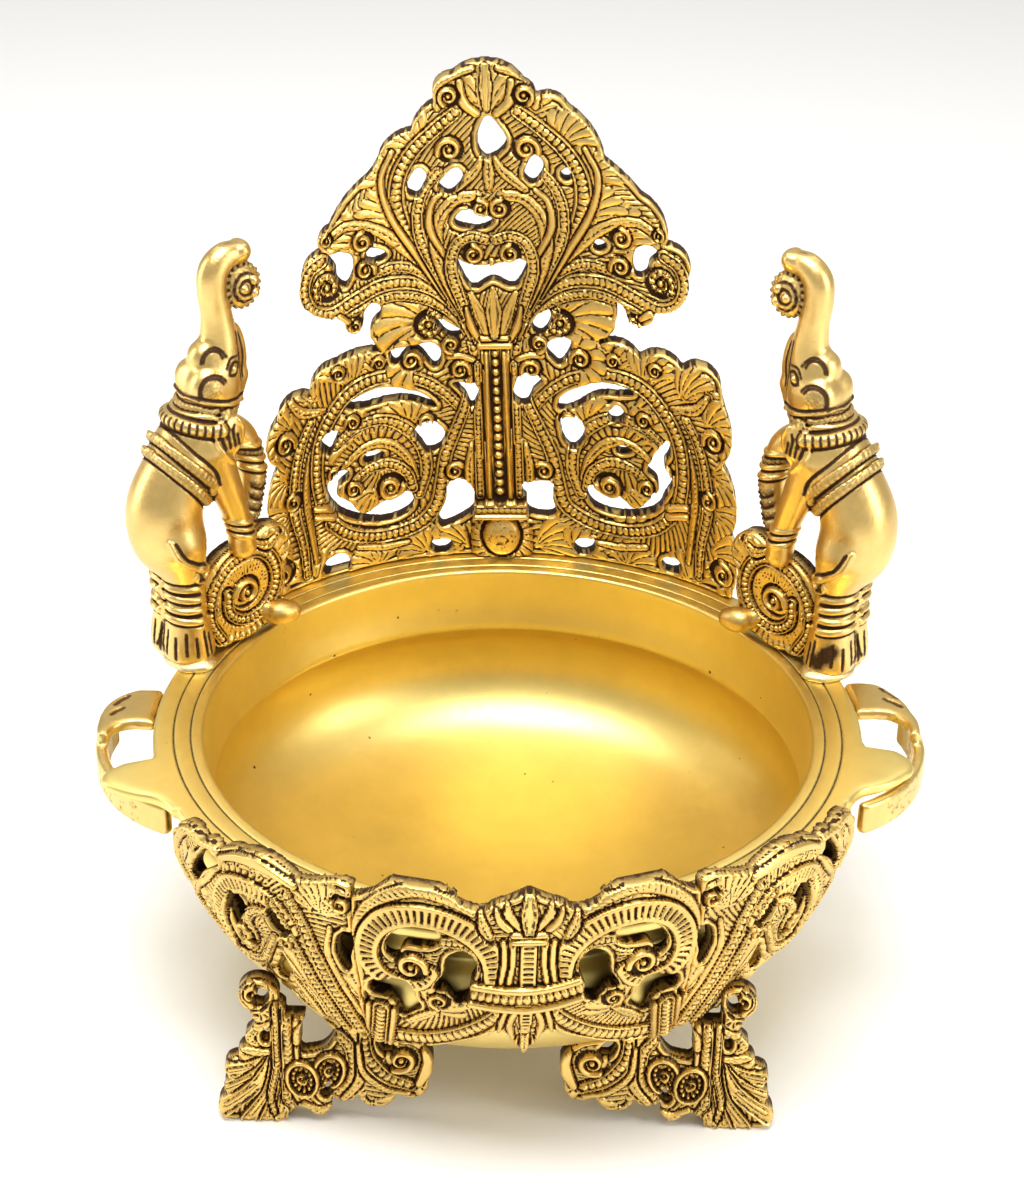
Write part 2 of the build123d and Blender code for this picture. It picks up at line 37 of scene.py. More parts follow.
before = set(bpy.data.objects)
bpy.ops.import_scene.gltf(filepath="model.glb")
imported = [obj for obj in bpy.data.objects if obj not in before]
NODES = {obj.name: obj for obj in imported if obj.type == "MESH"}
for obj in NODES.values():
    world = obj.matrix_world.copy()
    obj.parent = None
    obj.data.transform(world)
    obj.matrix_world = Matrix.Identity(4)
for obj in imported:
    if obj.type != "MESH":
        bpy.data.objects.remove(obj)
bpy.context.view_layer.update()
MM = 0.001
MAX_FACES = 196_000  # triangles in one piece

# places and sizes worked out from the frame
bowl_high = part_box("bowl")[1]
RIM = bowl_high[2] / MM  # height of the rim's top face
RIM_RADIUS = bowl_high[1] / MM
MOUTH = RIM_RADIUS - 19.0
GROOVES = (MOUTH + 4.8, MOUTH + 11.2)  # radii of the two turned lines on the rim
CREST_THICKNESS = 7.5
CREST_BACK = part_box("back_crest")[1][1] / MM  # radius of the crest's back
CREST_FACE = CREST_BACK - CREST_THICKNESS
CREST_LEAN = math.tan(math.radians(2.6))
CREST_TURN = math.radians(1.6) * CREST_FACE
APRON_TURN = math.radians(3.5)
APRON_RADIUS = 138.0
APRON_THICKNESS = 7.0
# the turned surface that the aprons follow: height above the rim, radius
APRON_V = np.array([-68, -56, -36, -18, 0, 26.0])
APRON_R = np.array([119.0, 124.0, 131.0, 135.8, 137.6, 137.6])
APRON_DEEP = 4.2  # how far below that surface the casting's face may lie
LEG_FACE = -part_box("leg_front_left")[0][1] / MM
LEG_THICKNESS = 7.5
LEG_OFFSET = 2.0  # the left leg stands this much further out, the right one further in
ELEPHANT_FOOT = (129.0, 45.0)
ELEPHANT_HEADING = math.radians(37)
PAD = 3.0  # height of the braze under an elephant
WHEEL_CENTRE = (107.5, 58.0, 22.0)
WHEEL_THICKNESS = 9.0
WHEEL_HEADING = math.radians(45)


# ---------------------------------------------------------------- meshes

def blurred(field, times, axes):
    """A soft blur: a 1-2-1 average repeated along each axis."""
    out = field.astype(np.float32)
    for _ in range(times):
        for axis in axes:
            size = out.shape[axis]
            before = np.concatenate([out.take([0], axis), out.take(range(size - 1), axis)], axis)
            after = np.concatenate([out.take(range(1, size), axis), out.take([-1], axis)], axis)
            out = (before + 2 * out + after) / 4
    return out


CORNERS = [(0, 0, 0), (1, 0, 0), (0, 1, 0), (1, 1, 0), (0, 0, 1), (1, 0, 1), (0, 1, 1), (1, 1, 1)]
EDGES = [(a, b) for a in range(8) for b in range(a + 1, 8)
         if sum(x != y for x, y in zip(CORNERS[a], CORNERS[b])) == 1]


def surface_nets(field, origin, step):
    """Closed quad mesh of field = 0, with field negative inside. step is one per axis."""
    inside = field < 0
    nx, ny, nz = (n - 1 for n in field.shape)
    count = np.zeros((nx, ny, nz), np.int8)
    for i, j, k in CORNERS:
        count += inside[i:i + nx, j:j + ny, k:k + nz]
    ix, iy, iz = np.nonzero((count > 0) & (count < 8))
    number = np.full((nx, ny, nz), -1, np.int32)
    number[ix, iy, iz] = np.arange(len(ix))
    values = [field[ix + i, iy + j, iz + k] for i, j, k in CORNERS]
    total = np.zeros((len(ix), 3))
    hits = np.zeros(len(ix))
    for a, b in EDGES:
        crossed = (values[a] < 0) != (values[b] < 0)
        gap = np.where(crossed, values[a] - values[b], 1.0)
        t = np.where(crossed, values[a] / gap, 0.0)[:, None]
        point = np.array(CORNERS[a]) + t * (np.array(CORNERS[b]) - np.array(CORNERS[a]))
        total += point * crossed[:, None]
        hits += crossed
    verts = (np.stack([ix, iy, iz], 1) + total / hits[:, None]) * np.array(step) + np.array(origin)
    quads = []
    for axis in range(3):
        p, q = [(1, 2), (2, 0), (0, 1)][axis]
        first, second = [slice(1, -1)] * 3, [slice(1, -1)] * 3
        first[axis], second[axis] = slice(0, -1), slice(1, None)
        low, high = inside[tuple(first)], inside[tuple(second)]
        at = np.stack(np.nonzero(low != high), 1)
        base = at + 1
        base[:, axis] -= 1
        corners = []
        for dp, dq in ((0, 0), (-1, 0), (-1, -1), (0, -1)):
            cell = base.copy()
            cell[:, p] += dp
            cell[:, q] += dq
            corners.append(number[cell[:, 0], cell[:, 1], cell[:, 2]])
        quad = np.stack(corners, 1)
        outward = low[tuple(at.T)]
        quad[~outward] = quad[~outward][:, ::-1]
        quads.append(quad)
    return verts, np.concatenate(quads)


def mesh_from(name, verts, faces):
    """A Blender mesh, quick to make, from vertices and quads or triangles."""
    mesh = bpy.data.meshes.new(name)
    sides = faces.shape[1]
    mesh.vertices.add(len(verts))
    mesh.vertices.foreach_set("co", np.ascontiguousarray(verts, np.float32).ravel())
    mesh.loops.add(faces.size)
    mesh.loops.foreach_set("vertex_index", np.ascontiguousarray(faces, np.int32).ravel())
    mesh.polygons.add(len(faces))
    mesh.polygons.foreach_set("loop_start", np.arange(0, faces.size, sides, dtype=np.int32))
    mesh.update(calc_edges=True)
    return mesh


def thinned(verts, faces, limit):
    """The same surface with at most this many triangles, fewest where it is flat."""
    triangles = len(faces) * (2 if faces.shape[1] == 4 else 1)
    if triangles <= limit:
        return verts, faces
    holder = bpy.data.objects.new("thinning", mesh_from("thinning", verts, faces))
    bpy.context.scene.collection.objects.link(holder)
    modifier = holder.modifiers.new("thin", "DECIMATE")
    modifier.ratio = limit / triangles
    evaluated = holder.evaluated_get(bpy.context.evaluated_depsgraph_get())
    thin = bpy.data.meshes.new_from_object(evaluated)
    thin.calc_loop_triangles()
    out_verts = np.empty(len(thin.vertices) * 3, np.float32)
    thin.vertices.foreach_get("co", out_verts)
    out_faces = np.empty(len(thin.loop_triangles) * 3, np.int32)
    thin.loop_triangles.foreach_get("vertices", out_faces)
    full = holder.data
    bpy.data.objects.remove(holder)
    bpy.data.meshes.remove(full)
    bpy.data.meshes.remove(thin)
    return out_verts.reshape(-1, 3), out_faces.reshape(-1, 3)


def piece(name, verts, faces, patina_and_shade, material, slot, *nodes):
    """A finished piece from millimetre vertices; its patina, with any painted shade, is 0 to 1 for each
    of them.
    """
    a, b, c = (verts[faces[:, i]] for i in range(3))
    volume = np.einsum("ij,ij->i", a, np.cross(b, c)).sum()
    if faces.shape[1] == 4:
        volume += np.einsum("ij,ij->i", a, np.cross(c, verts[faces[:, 3]])).sum()
    if volume < 0:
        faces = faces[:, ::-1]
    mesh = mesh_from(name, verts * MM, faces)
    mesh.polygons.foreach_set("use_smooth", np.ones(len(faces), bool))
    attribute = mesh.attributes.new("patina_and_shade", "FLOAT", "POINT")
    attribute.data.foreach_set("value", np.ascontiguousarray(patina_and_shade, np.float32))
    obj = bpy.data.objects.new(name, mesh)
    bpy.context.scene.collection.objects.link(obj)
    mesh.materials.append(material)
    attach(obj, "root")
    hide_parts(*nodes)


def cad_tree(node):
    """A CAD node's surface in millimetres, to cast rays at."""
    mesh = NODES[node].data
    mesh.calc_loop_triangles()
    return BVHTree.FromPolygons([v.co / MM for v in mesh.vertices],
                                [tuple(t.vertices) for t in mesh.loop_triangles])


# ---------------------------------------------------------------- relief

def smooth_path(points, per_span=7):
    """A curve through the points, as short chords."""
    p = np.array(points, float)
    if len(p) < 3:
        t = np.linspace(0, 1, 9)[:, None]
        return p[0] + (p[-1] - p[0]) * t
    ends = np.vstack([2 * p[0] - p[1], p, 2 * p[-1] - p[-2]])
    out = []
    for a, b, c, d in zip(ends, ends[1:], ends[2:], ends[3:]):
        for t in np.arange(per_span) / per_span:
            out.append(0.5 * (2 * b + (c - a) * t + (2 * a - 5 * b + 4 * c - d) * t * t
                              + (3 * b - a - 3 * c + d) * t ** 3))
    out.append(p[-1])
    return np.array(out)


def spiral_path(centre, radius, turns, start, way):
    """From the rim of a volute in to its eye. start is in degrees, way +1 anticlockwise."""
    t = np.linspace(0, 1, int(14 * turns) + 6)
    angle = math.radians(start) + way * 2 * math.pi * turns * t
    r = radius * (1 - 0.84 * t ** 0.85)
    return np.stack([centre[0] + r * np.cos(angle), centre[1] + r * np.sin(angle)], 1)


class Relief:
    """Heights in millimetres above a casting's back, on a flat layout."""

    def __init__(self, u_range, v_range, step, thickness, flip=1):
        self.step = step * 1.0
        self.flip = flip
        self.u = np.arange(u_range[0], u_range[1], self.step)
        self.v = np.arange(v_range[0], v_range[1], self.step)
        self.U, self.V = np.meshgrid(self.u, self.v, indexing="ij")
        self.base = thickness
        self.H = np.full(self.U.shape, thickness)

    def window(self, path, margin):
        """The cells around a path, as two slices."""
        low, high = path.min(0) - margin, path.max(0) + margin
        i = np.searchsorted(self.u, (low[0], high[0]))
        j = np.searchsorted(self.v, (low[1], high[1]))
        return slice(max(i[0] - 1, 0), i[1] + 1), slice(max(j[0] - 1, 0), j[1] + 1)

    def follow(self, path, box):
        """For each cell its place along the path, distance and side; and the path's length."""
        U, V = self.U[box], self.V[box]
        best = np.full(U.shape, 1e9)
        along, side = np.zeros(U.shape), np.zeros(U.shape)
        run = 0.0
        for a, b in zip(path, path[1:]):
            d = b - a
            length = math.hypot(*d)
            if length < 1e-6:
                continue
            t = np.clip(((U - a[0]) * d[0] + (V - a[1]) * d[1]) / length ** 2, 0, 1)
            x, y = U - a[0] - t * d[0], V - a[1] - t * d[1]
            near = x * x + y * y
            won = near < best
            best = np.where(won, near, best)
            along = np.where(won, run + t * length, along)
            side = np.where(won, np.sign(d[0] * y - d[1] * x), side)
            run += length
        return along, np.sqrt(best), side, run

    def stroke(self, path, w0, w1=None, w2=None, kind="rib", top=1.2, pitch=2.3, moat=0.85,
               lift=0.0):
        """A raised band along a path. w0, w1, w2 are half widths at its start, middle, end."""
        w1 = w0 if w1 is None else w1
        w2 = w1 if w2 is None else w2
        path = np.array(path, float) * (self.flip, 1)
        wide = max(w0, w1, w2) + moat + 0.3
        box = self.window(path, wide)
        s, d, side, run = self.follow(path, box)
        share = s / max(run, 1e-6)
        w = np.interp(share, [0, 0.5, 1], [w0, w1, w2])
        t = np.clip(d / w, 0, 1)
        round_top = np.sqrt(np.clip(1 - t * t, 0, 1))
        ridge = np.exp(-((t - 0.86) / 0.12) ** 2)
        core = np.clip((0.7 - t) / 0.12, 0, 1)
        wave = s / pitch
        if kind == "rib":
            h = top * round_top
        elif kind == "flat":
            h = top * np.clip((1 - t) / 0.25, 0, 1) ** 0.5
        elif kind == "beads":
            cell = (wave % 1.0) * 2 - 1
            r2 = (t / 0.66) ** 2 + (cell * 0.92) ** 2
            h = -0.15 * top + top * 1.15 * np.sqrt(np.clip(1 - r2, 0, 1)) * core
            h = np.maximum(h, top * ridge)
        elif kind == "studs":
            cell = (wave % 1.0) * 2 - 1
            r2 = (t / 0.8) ** 2 + (cell * 1.25) ** 2
            h = -0.8 * top + 1.8 * top * np.sqrt(np.clip(1 - r2, 0, 1))
        elif kind == "ladder":
            pit = np.exp(-(((wave % 1.0) - 0.5) / 0.2) ** 2) * np.clip((0.62 - t) / 0.15, 0, 1)
            h = top * (0.8 - 0.75 * pit)
            h = np.maximum(h, top * 1.05 * ridge) * np.clip((1 - t) / 0.06, 0, 1) ** 0.3
        elif kind == "rope":
            turn = (wave + 0.45 * side * t) % 1.0
            h = top * round_top * (0.45 + 0.55 * np.sqrt(np.clip(1 - (2 * turn - 1) ** 2, 0, 1)))
        elif kind == "leaf":
            vein = 0.5 + 0.5 * np.cos(2 * math.pi * (wave - 0.9 * t))
            h = top * (0.35 + 0.65 * round_top) * (0.55 + 0.45 * vein)
            h = np.where(t < 0.14, h * 0.55, h)
        elif kind == "petal":
            h = top * (0.3 + 0.3 * np.exp(-(t / 0.3) ** 2) + 0.75 * ridge)
        ended = np.clip(np.minimum(share, 1 - share) * run / 0.8, 0, 1) if kind == "leaf" else 1.0
        level = self.base + lift
        around = (d >= w) & (d < w + moat)
        sunk = level - 1.5 + 1.1 * np.clip((d - w) / moat, 0, 1)
        H = np.where(around, np.minimum(self.H[box], sunk), self.H[box])
        self.H[box] = np.where(d < w, level - 0.9 * (1 - ended) + h - 0.35, H)

    def band(self, points, *widths, **details):
        """A stroke along a smooth curve through the points."""
        self.stroke(smooth_path(points), *widths, **details)

    beads = partialmethod(band, kind="beads")
    flat = partialmethod(band, kind="flat")
    ladder = partialmethod(band, kind="ladder")
    leaf = partialmethod(band, kind="leaf")
    petal = partialmethod(band, kind="petal")
    rope = partialmethod(band, kind="rope")
    studs = partialmethod(band, kind="studs")

    def volute(self, centre, radius, start=90, way=1, turns=1.5, wide=0.2, kind="rib", top=2.1):
        """A scroll end with its eye, on a dark sunk ground."""
        middle = np.array(centre, float) * (self.flip, 1)
        box = self.window(middle[None, :], radius)
        d = np.hypot(self.U[box] - middle[0], self.V[box] - middle[1])
        self.H[box] = np.where(d < radius * 0.95, self.base - 1.5, self.H[box])
        path = spiral_path(centre, radius * (1 - wide), turns, start, way)
        w = radius * wide
        self.stroke(path, w, w * 0.85, w * 0.6, kind=kind, top=top, pitch=max(2.0, radius * 0.36),
                    moat=0.5)
        self.dome(centre, radius * 0.19, top * 0.9)

    def dome(self, centre, radius, top):
        """A round boss with a sunk ring about it."""
        centre = np.array(centre, float) * (self.flip, 1)
        box = self.window(centre[None, :], radius + 1.2)
        d = np.hypot(self.U[box] - centre[0], self.V[box] - centre[1])
        cap = self.base - 0.35 + top * np.sqrt(np.clip(1 - (d / radius) ** 2, 0, 1))
        H = self.H[box]
        H = np.where((d >= radius) & (d < radius + 0.7), np.minimum(H, self.base - 1.0), H)
        self.H[box] = np.where(d < radius, cap, H)

    def fans(self, sprays, swirl):
        """Sprays of acanthus ribs: root, reach, heading and spread in degrees, ribs."""
        for spray in sprays:
            self.fan(*spray, swirl)

    def fan(self, root, reach, heading, spread, ribs, swirl):
        """One spray, curled by swirl degrees, with a scalloped edge."""
        root = np.array(root, float) * (self.flip, 1)
        box = self.window(root[None, :], reach + 1.0)
        du, dv = (self.U[box] - root[0]) * self.flip, self.V[box] - root[1]
        rho = np.hypot(du, dv) / reach
        phi = np.degrees(np.arctan2(dv, du)) - heading + swirl * rho
        phi = (phi + 180) % 360 - 180
        part = (phi / spread + 0.5) * ribs
        hump = np.sqrt(np.clip(1 - (2 * (part % 1.0) - 1) ** 2, 0, 1))
        edge = 0.84 + 0.16 * hump
        within = (np.abs(phi) < spread / 2) & (rho < edge) & (rho > 0.12)
        fall = np.sqrt(np.clip((edge - rho) / 0.12, 0, 1))
        height = self.base - 0.9 + (1.3 * (0.12 + 0.88 * hump) * (0.6 + 0.4 * rho)) * fall
        self.H[box] = np.where(within, height, self.H[box])

    def scatter_marks(self, seed, amount):
        """Unevenness of a hand-chased casting."""
        random = np.random.default_rng(seed)
        rough = blurred(random.standard_normal(self.H.shape), 3, (0, 1))
        broad = blurred(random.standard_normal(self.H.shape), 40, (0, 1))
        self.H += amount * (rough / rough.std() * 0.35 + broad / broad.std())


EDGE_ROUND = 1.6  # radius of a casting's front edge
WALL_FROM = 0.8  # depth below the face at which a casting's wall begins


def nearest_miss(mask, cells):
    """Distance in cells from each cell of the mask to the nearest one outside, capped."""
    far = cells + 1.0
    rows = np.where(mask, far, 0.0)
    padded = np.pad(~mask, cells, constant_values=True)
    nu, nv = mask.shape
    for k in range(1, cells + 1):
        for shift in (k, -k):
            hit = padded[cells + shift:cells + shift + nu, cells:cells + nv]
            rows = np.where(mask & hit, np.minimum(rows, k), rows)
    wide = np.pad(rows, ((0, 0), (cells, cells)))
    best = np.full(mask.shape, far * far)
    for k in range(-cells, cells + 1):
        best = np.minimum(best, wide[:, cells + k:cells + k + nv] ** 2 + k * k)
    return np.sqrt(best)


def solid_where(relief, node, place, deep=1.2):
    """Signed distance on the layout to the edge of the CAD casting, negative on metal."""
    tree = cad_tree(node)
    above, below = (place(relief.U, relief.V, np.full(relief.U.shape, w)).reshape(-1, 3)
                    for w in (relief.base + 8.0, relief.base - deep))
    away = below - above
    reach = np.linalg.norm(away, axis=1)
    hits = [tree.ray_cast(Vector(o), Vector(d), r)[0] is not None
            for o, d, r in zip(above, away / reach[:, None], reach)]
    mask = np.array(hits).reshape(relief.U.shape)
    cells = 9  # how far from the edge the distance is worked out
    signed = np.where(mask, 0.5 - nearest_miss(mask, cells), nearest_miss(~mask, cells) - 0.5)
    return blurred(signed, 2, (0, 1)) * relief.step


def cast(name, relief, signed, place, material, node, back=None):
    """Meshes a relief over its casting, with rounded edges, and lays it in place."""
    inward = np.clip(-signed, 0, EDGE_ROUND)
    fall = EDGE_ROUND - np.sqrt(np.clip(EDGE_ROUND ** 2 - (EDGE_ROUND - inward) ** 2, 0, None))
    relief.H = relief.H - fall * 0.9
    relief.H = np.maximum(relief.H, 2.0)
    top = relief.H.max() + 1.0
    w = np.arange(-1.0, top, max(0.5, relief.step))
    lower = np.zeros_like(relief.H) if back is None else back
    field = np.maximum(signed[:, :, None], w[None, None, :] - relief.H[:, :, None])
    field = np.maximum(field, lower[:, :, None] - w[None, None, :]).astype(np.float32)
    field[[0, -1]], field[:, [0, -1]] = 1.0, 1.0
    steps = (relief.step, relief.step, w[1] - w[0])
    verts, quads = surface_nets(field, (relief.u[0], relief.v[0], w[0]), steps)
    verts, faces = thinned(verts, quads, MAX_FACES)
    sunk = blurred(relief.H, int(3.5 / relief.step), (0, 1)) - relief.H
    crease = blurred(relief.H, 2, (0, 1)) - relief.H
    i, j = (np.clip(((verts[:, k] - axis[0]) / relief.step).round().astype(int), 0, len(axis) - 1)
            for k, axis in enumerate((relief.u, relief.v)))
    depth = relief.H[i, j] - verts[:, 2]
    # dark in sunk ground and creases, and on the walls, more so towards the back
    front = 0.85 * np.clip(sunk[i, j] / 0.75, 0, 1) + 0.9 * np.clip(crease[i, j] / 0.2, 0, 1)
    wall = 0.35 + 0.5 * np.clip((depth - WALL_FROM) / 3.0, 0, 1)
    patina_and_shade = np.clip(np.where(depth < WALL_FROM, front, wall), 0, 1)
    piece(name, place(*verts.T), faces, patina_and_shade, material, "cast_brass", node)


def contour_ground(relief, signed, phase, seed):
    """Fills a casting with a raised border, a groove, and feathering where phase says."""
    depth = np.clip(-signed, 0, None)
    border = 0.8 * np.exp(-((depth - 0.9) / 0.75) ** 2)
    hollow = -0.8 * np.exp(-((depth - 2.3) / 0.55) ** 2)
    feather = 1.15 * np.abs(np.sin(math.pi * phase)) ** 0.8 - 0.5
    feather = feather * np.clip((depth - 2.4) / 0.8, 0, 1)
    relief.H = relief.base - 0.9 + border + hollow + feather
    relief.scatter_marks(seed, 0.05)


def rays(relief, centre, spacing):
    """Feathering that spreads from a point, about this far apart everywhere."""
    du, dv = relief.U - centre[0], relief.V - centre[1]
    away = np.hypot(du, dv)
    doubled = 2.0 ** np.round(np.log2(np.clip(away / (8 * spacing), 0.5, 8)))
    return (np.arctan2(dv, du) + 0.012 * away) / (2 * math.pi) * 50 * doubled


def true_back(relief, node, place):
    """Height of the casting's own back at each cell, where a neighbour cuts into it."""
    tree = cad_tree(node)
    low, high = -3.0, relief.base + 1.0
    below, above = (place(relief.U, relief.V, np.full(relief.U.shape, w)).reshape(-1, 3)
                    for w in (low, high))
    run = above - below
    reach = np.linalg.norm(run, axis=1)
    found = np.zeros(len(run))
    for n, (o, d, r) in enumerate(zip(below, run / reach[:, None], reach)):
        hit = tree.ray_cast(Vector(o), Vector(d), r)[3]
        found[n] = low + hit / r * (high - low) if hit is not None else 0.0
    return blurred(found.reshape(relief.U.shape), 1, (0, 1)) - 0.3


# ---------------------------------------------------------------- bowl

def bowl_profile():
    """Half section of the bowl: up its outside, round the rim and down inside to the middle."""
    outside = smooth_path([(0, 21.5), (35, 22.2), (62, 25.0), (84, 29.7), (100, 35.2), (112, 43.4),
                           (120, 53.4), (124.3, 64), (124.0, 74), (120.8, 80.6), (116.9, 84.2),
                           (116.0, 86.4), (117.4, 92), (118.5, 98), (118.5, 104)], 4)
    under = smooth_path([(118.9, 104.9), (119.8, 105), (123, 105), (128, 105), (131.5, 105),
                         (132.6, 105.15)], 2)
    edge = smooth_path([(133.4, 105.6), (133.9, 106.4), (134, 107.5), (133.9, 108.8), (133.5, 109.6),
                        (132.7, 109.95)], 2)
    face = [(131.5, 110), (129.5, 110), (127.2, 110)]
    notch = ((0.75, 110), (0.5, 109.95), (0.25, 109.6), (0, 109.35), (-0.25, 109.6), (-0.5, 109.95),
             (-0.75, 110), (-1.6, 110))
    for groove in GROOVES[::-1]:
        face += [(groove + r, z) for r, z in notch]
    lip = [(117.0, 110), (116.2, 109.95), (115.5, 109.7), (115.1, 109.2), (115, 108.5)]
    inside = smooth_path([(115, 106), (115, 102), (114.8, 98), (114.2, 93.5), (113.2, 89),
                          (112.4, 85.6), (112.6, 83.4), (115.2, 80.4), (119.2, 74.5), (121.2, 66),
                          (119.4, 56.6), (114.0, 47.8), (105.0, 40.4), (92, 35.2), (76, 31.2),
                          (56, 28.0), (32, 25.8), (0, 25)], 4)
    return np.vstack([outside, under, edge, face, lip, inside])


def rim_reach(angles):
    """Radius of the rim's outline in each direction, tongues and all."""
    tree = cad_tree("bowl")
    level, far = RIM - 2.5, 170
    return np.array([far - tree.ray_cast(Vector((far * c, far * s, level)), Vector((-c, -s, 0)))[3]
                     for c, s in zip(np.cos(angles), np.sin(angles))])


def make_bowl(material):
    """The turned bowl, its rim drawn out to the outline with tongues."""
    steps = 720
    angles = np.arange(steps) * 2 * math.pi / steps
    profile = bowl_profile()
    reach = rim_reach(angles)
    r, z = profile[1:-1, 0], profile[1:-1, 1]
    outer = 129.0  # the rim is stretched outside this radius
    stretch = np.clip((r - outer) / (RIM_RADIUS - outer), 0, 1)[None, :] * (reach - RIM_RADIUS)[:, None]
    radius = r[None, :] + stretch
    x, y = radius * np.cos(angles)[:, None], radius * np.sin(angles)[:, None]
    rows = len(r)
    verts = np.stack([x, y, np.broadcast_to(z, x.shape)], -1).reshape(-1, 3)
    poles = np.array([(0, 0, profile[0, 1]), (0, 0, profile[-1, 1])])
    here = np.arange(steps)[:, None] * rows + np.arange(rows)[None, :]
    there = np.roll(here, -1, axis=0)
    a, b, c, d = here[:, :-1].ravel(), here[:, 1:].ravel(), there[:, 1:].ravel(), there[:, :-1].ravel()
    first, last = len(verts), len(verts) + 1
    faces = np.concatenate([
        np.stack([a, b, c], 1), np.stack([a, c, d], 1),
        np.stack([np.full(steps, first), here[:, 0], there[:, 0]], 1),
        np.stack([np.full(steps, last), there[:, -1], here[:, -1]], 1)])
    verts = np.vstack([verts, poles])
    inner = np.append(np.tile(np.arange(rows) > rows // 2, steps), (False, True))
    patina_and_shade = bowl_patina_and_shade(verts, inner)
    piece("bowl_turned", verts, faces, patina_and_shade, material, "turned_brass", "bowl")


def bowl_patina_and_shade(verts, inner):
    """Dark grooves, light tarnish and stains, and painted shade in the neck's crease; inner marks the
    vertices inside the bowl.
    """
    radial, height = np.hypot(verts[:, 0], verts[:, 1]), verts[:, 2]

    def stain(x, y, size, edge, stretched=1.0):
        away = np.hypot((verts[:, 0] - x) / stretched, verts[:, 1] - y)
        return np.clip(edge - away / size, 0, 1)

    patina_and_shade = np.zeros(len(verts))
    on_top = height > RIM - 1.2
    for groove in GROOVES:
        patina_and_shade = np.maximum(patina_and_shade, on_top * np.clip(1.15 - np.abs(radial - groove) / 0.55, 0, 1))
    # tarnish under the crest and where braze ran on the rim, and painted shade in the crease below the
    # neck
    crease = np.exp(-((height - 84.5) / 2.6) ** 2) * (radial < 118) * 0.28
    foot = on_top * np.clip((radial - 127.5) / 3, 0, 1) * (verts[:, 1] > 60) * 0.45
    patina_and_shade = np.maximum(patina_and_shade, np.maximum(crease, foot))
    for sx, sy, size in ((26, -22, 5.5), (-24, -16, 4), (-62, -28, 2.5)):
        smudge = 0.26 * stain(sx, sy, size, 1.5, 1.6)
        patina_and_shade = np.maximum(patina_and_shade, smudge * (height < 40) * inner)
    for sx, sy, size, amount in ((30, 121, 7, 0.5), (44, 118, 6, 0.45), (-10, 126, 6, 0.35),
                                 (-117, 31, 5, 0.5), (112, 46, 6, 0.5), (-94, 73, 6, 0.4)):
        patina_and_shade = np.maximum(patina_and_shade, amount * stain(sx, sy, size, 1.4) * (height > RIM - 12))
    return patina_and_shade


# ---------------------------------------------------------------- crest

def on_crest(u, v, w):
    """From the crest's flat layout to its place behind the bowl, facing into it."""
    arc = u - CREST_LEAN * v - CREST_TURN
    x = CREST_FACE * np.sin(arc / CREST_FACE)
    y = np.sqrt(np.clip((CREST_BACK - w) ** 2 - x ** 2, 1, None))
    return np.stack([x, y, RIM + v], -1)


def crest_fan(r):
    """Half of the upper fan: beaded stems that rise from the waist and end in scrolls."""
    r.fans((
        ((27, 107), 23, 25, 150, 7), ((50, 143), 19, 55, 150, 8), ((66, 131), 15, 100, 200, 8),
        ((36, 150), 21, 60, 100, 7), ((36, 165), 18, 75, 90, 6), ((28, 180), 17, 80, 100, 6),
        ((16, 192), 13, 120, 120, 5), ((0, 190), 24, 90, 60, 5), ((33, 90), 13, 30, 200, 6),
    ), swirl=24)
    r.beads([(9, 97), (15, 109), (26, 117.5), (40, 121), (54, 118), (62, 117)], 1.6, 2.2, 1.6,
            pitch=2.0)
    r.beads([(8, 92), (11, 106), (19, 118), (30, 125), (44, 126.5), (57, 122), (67, 118.5),
             (75.5, 121.5), (79, 130), (76.5, 138), (70, 141.5)], 2.0, 3.0, 2.6, pitch=2.5)
    r.volute((68.5, 130), 7.2, start=-40, kind="beads")
    r.beads([(9, 100), (17, 118), (27, 129), (38, 133.5), (47, 132)], 1.6, 2.3, 2.0, pitch=2.1)
    r.volute((51.5, 134), 5.2, start=200, way=-1)
    r.leaf([(12, 108), (22, 127), (34, 140), (46, 150), (58, 153.5), (66, 150)], 1.6, 2.6, 1.6,
           pitch=2.6)
    r.volute((52, 146), 5.2, way=-1)
    r.volute((67.5, 149.5), 3.2, way=-1)
    r.beads([(13, 110), (24, 130), (33, 146), (37, 158), (36, 170), (30, 180), (20, 189), (12, 195)],
            2.0, 3.6, 2.6, pitch=2.7, top=1.5)
    r.band([(19, 118), (30, 137), (40, 155), (43, 170), (38, 181)], 1.1, 1.5, 1.0)
    r.beads([(12, 108), (22, 129), (28, 143), (29, 154), (26, 164), (20, 171)], 1.5, 2.4, 2.0,
            pitch=2.2)
    r.volute((15, 180), 6.2, start=-20)
    r.leaf([(11, 108), (19, 127), (22, 141), (20, 152), (13, 159.5), (5, 160.5)], 1.4, 2.6, 2.2,
           pitch=2.3)
    r.volute((3.8, 155), 5.0, start=80)
    r.band([(17, 133), (24, 147), (23, 158), (18, 163)], 0.9, 1.5, 0.9)
    r.beads([(7, 98), (13, 117), (16.5, 130), (14, 140), (8, 143.5), (2, 142)], 1.4, 2.4, 2.0,
            pitch=2.1)
    r.volute((7.3, 136), 5.0)
    r.leaf([(2, 176), (6, 170), (14, 163)], 1.2, 2.0, 1.4)
    r.band([(4, 194), (9, 199), (10, 207)], 1.6, 1.9, 1.2)
    r.rope([(19, 197), (19.5, 205), (13, 209.5), (5, 212)], 1.4, 1.8, 1.2)
    r.volute((14.5, 201.5), 5.0, start=-60)
    r.volute((26.5, 107), 6.8, start=100, turns=1.6, kind="beads")
    r.volute((57, 111), 4.0, start=60, way=-1)
    r.band([(64, 116), (60, 113)], 1.5, 1.3, 1.0)
    r.band([(9, 90), (14, 92), (19, 92)], 1.2)
    r.volute((17.8, 97.5), 4.6, start=-90)
    r.volute((34.5, 92), 5.2, start=200, way=-1)
    r.volute((14.5, 86), 5.2, start=200, way=-1)


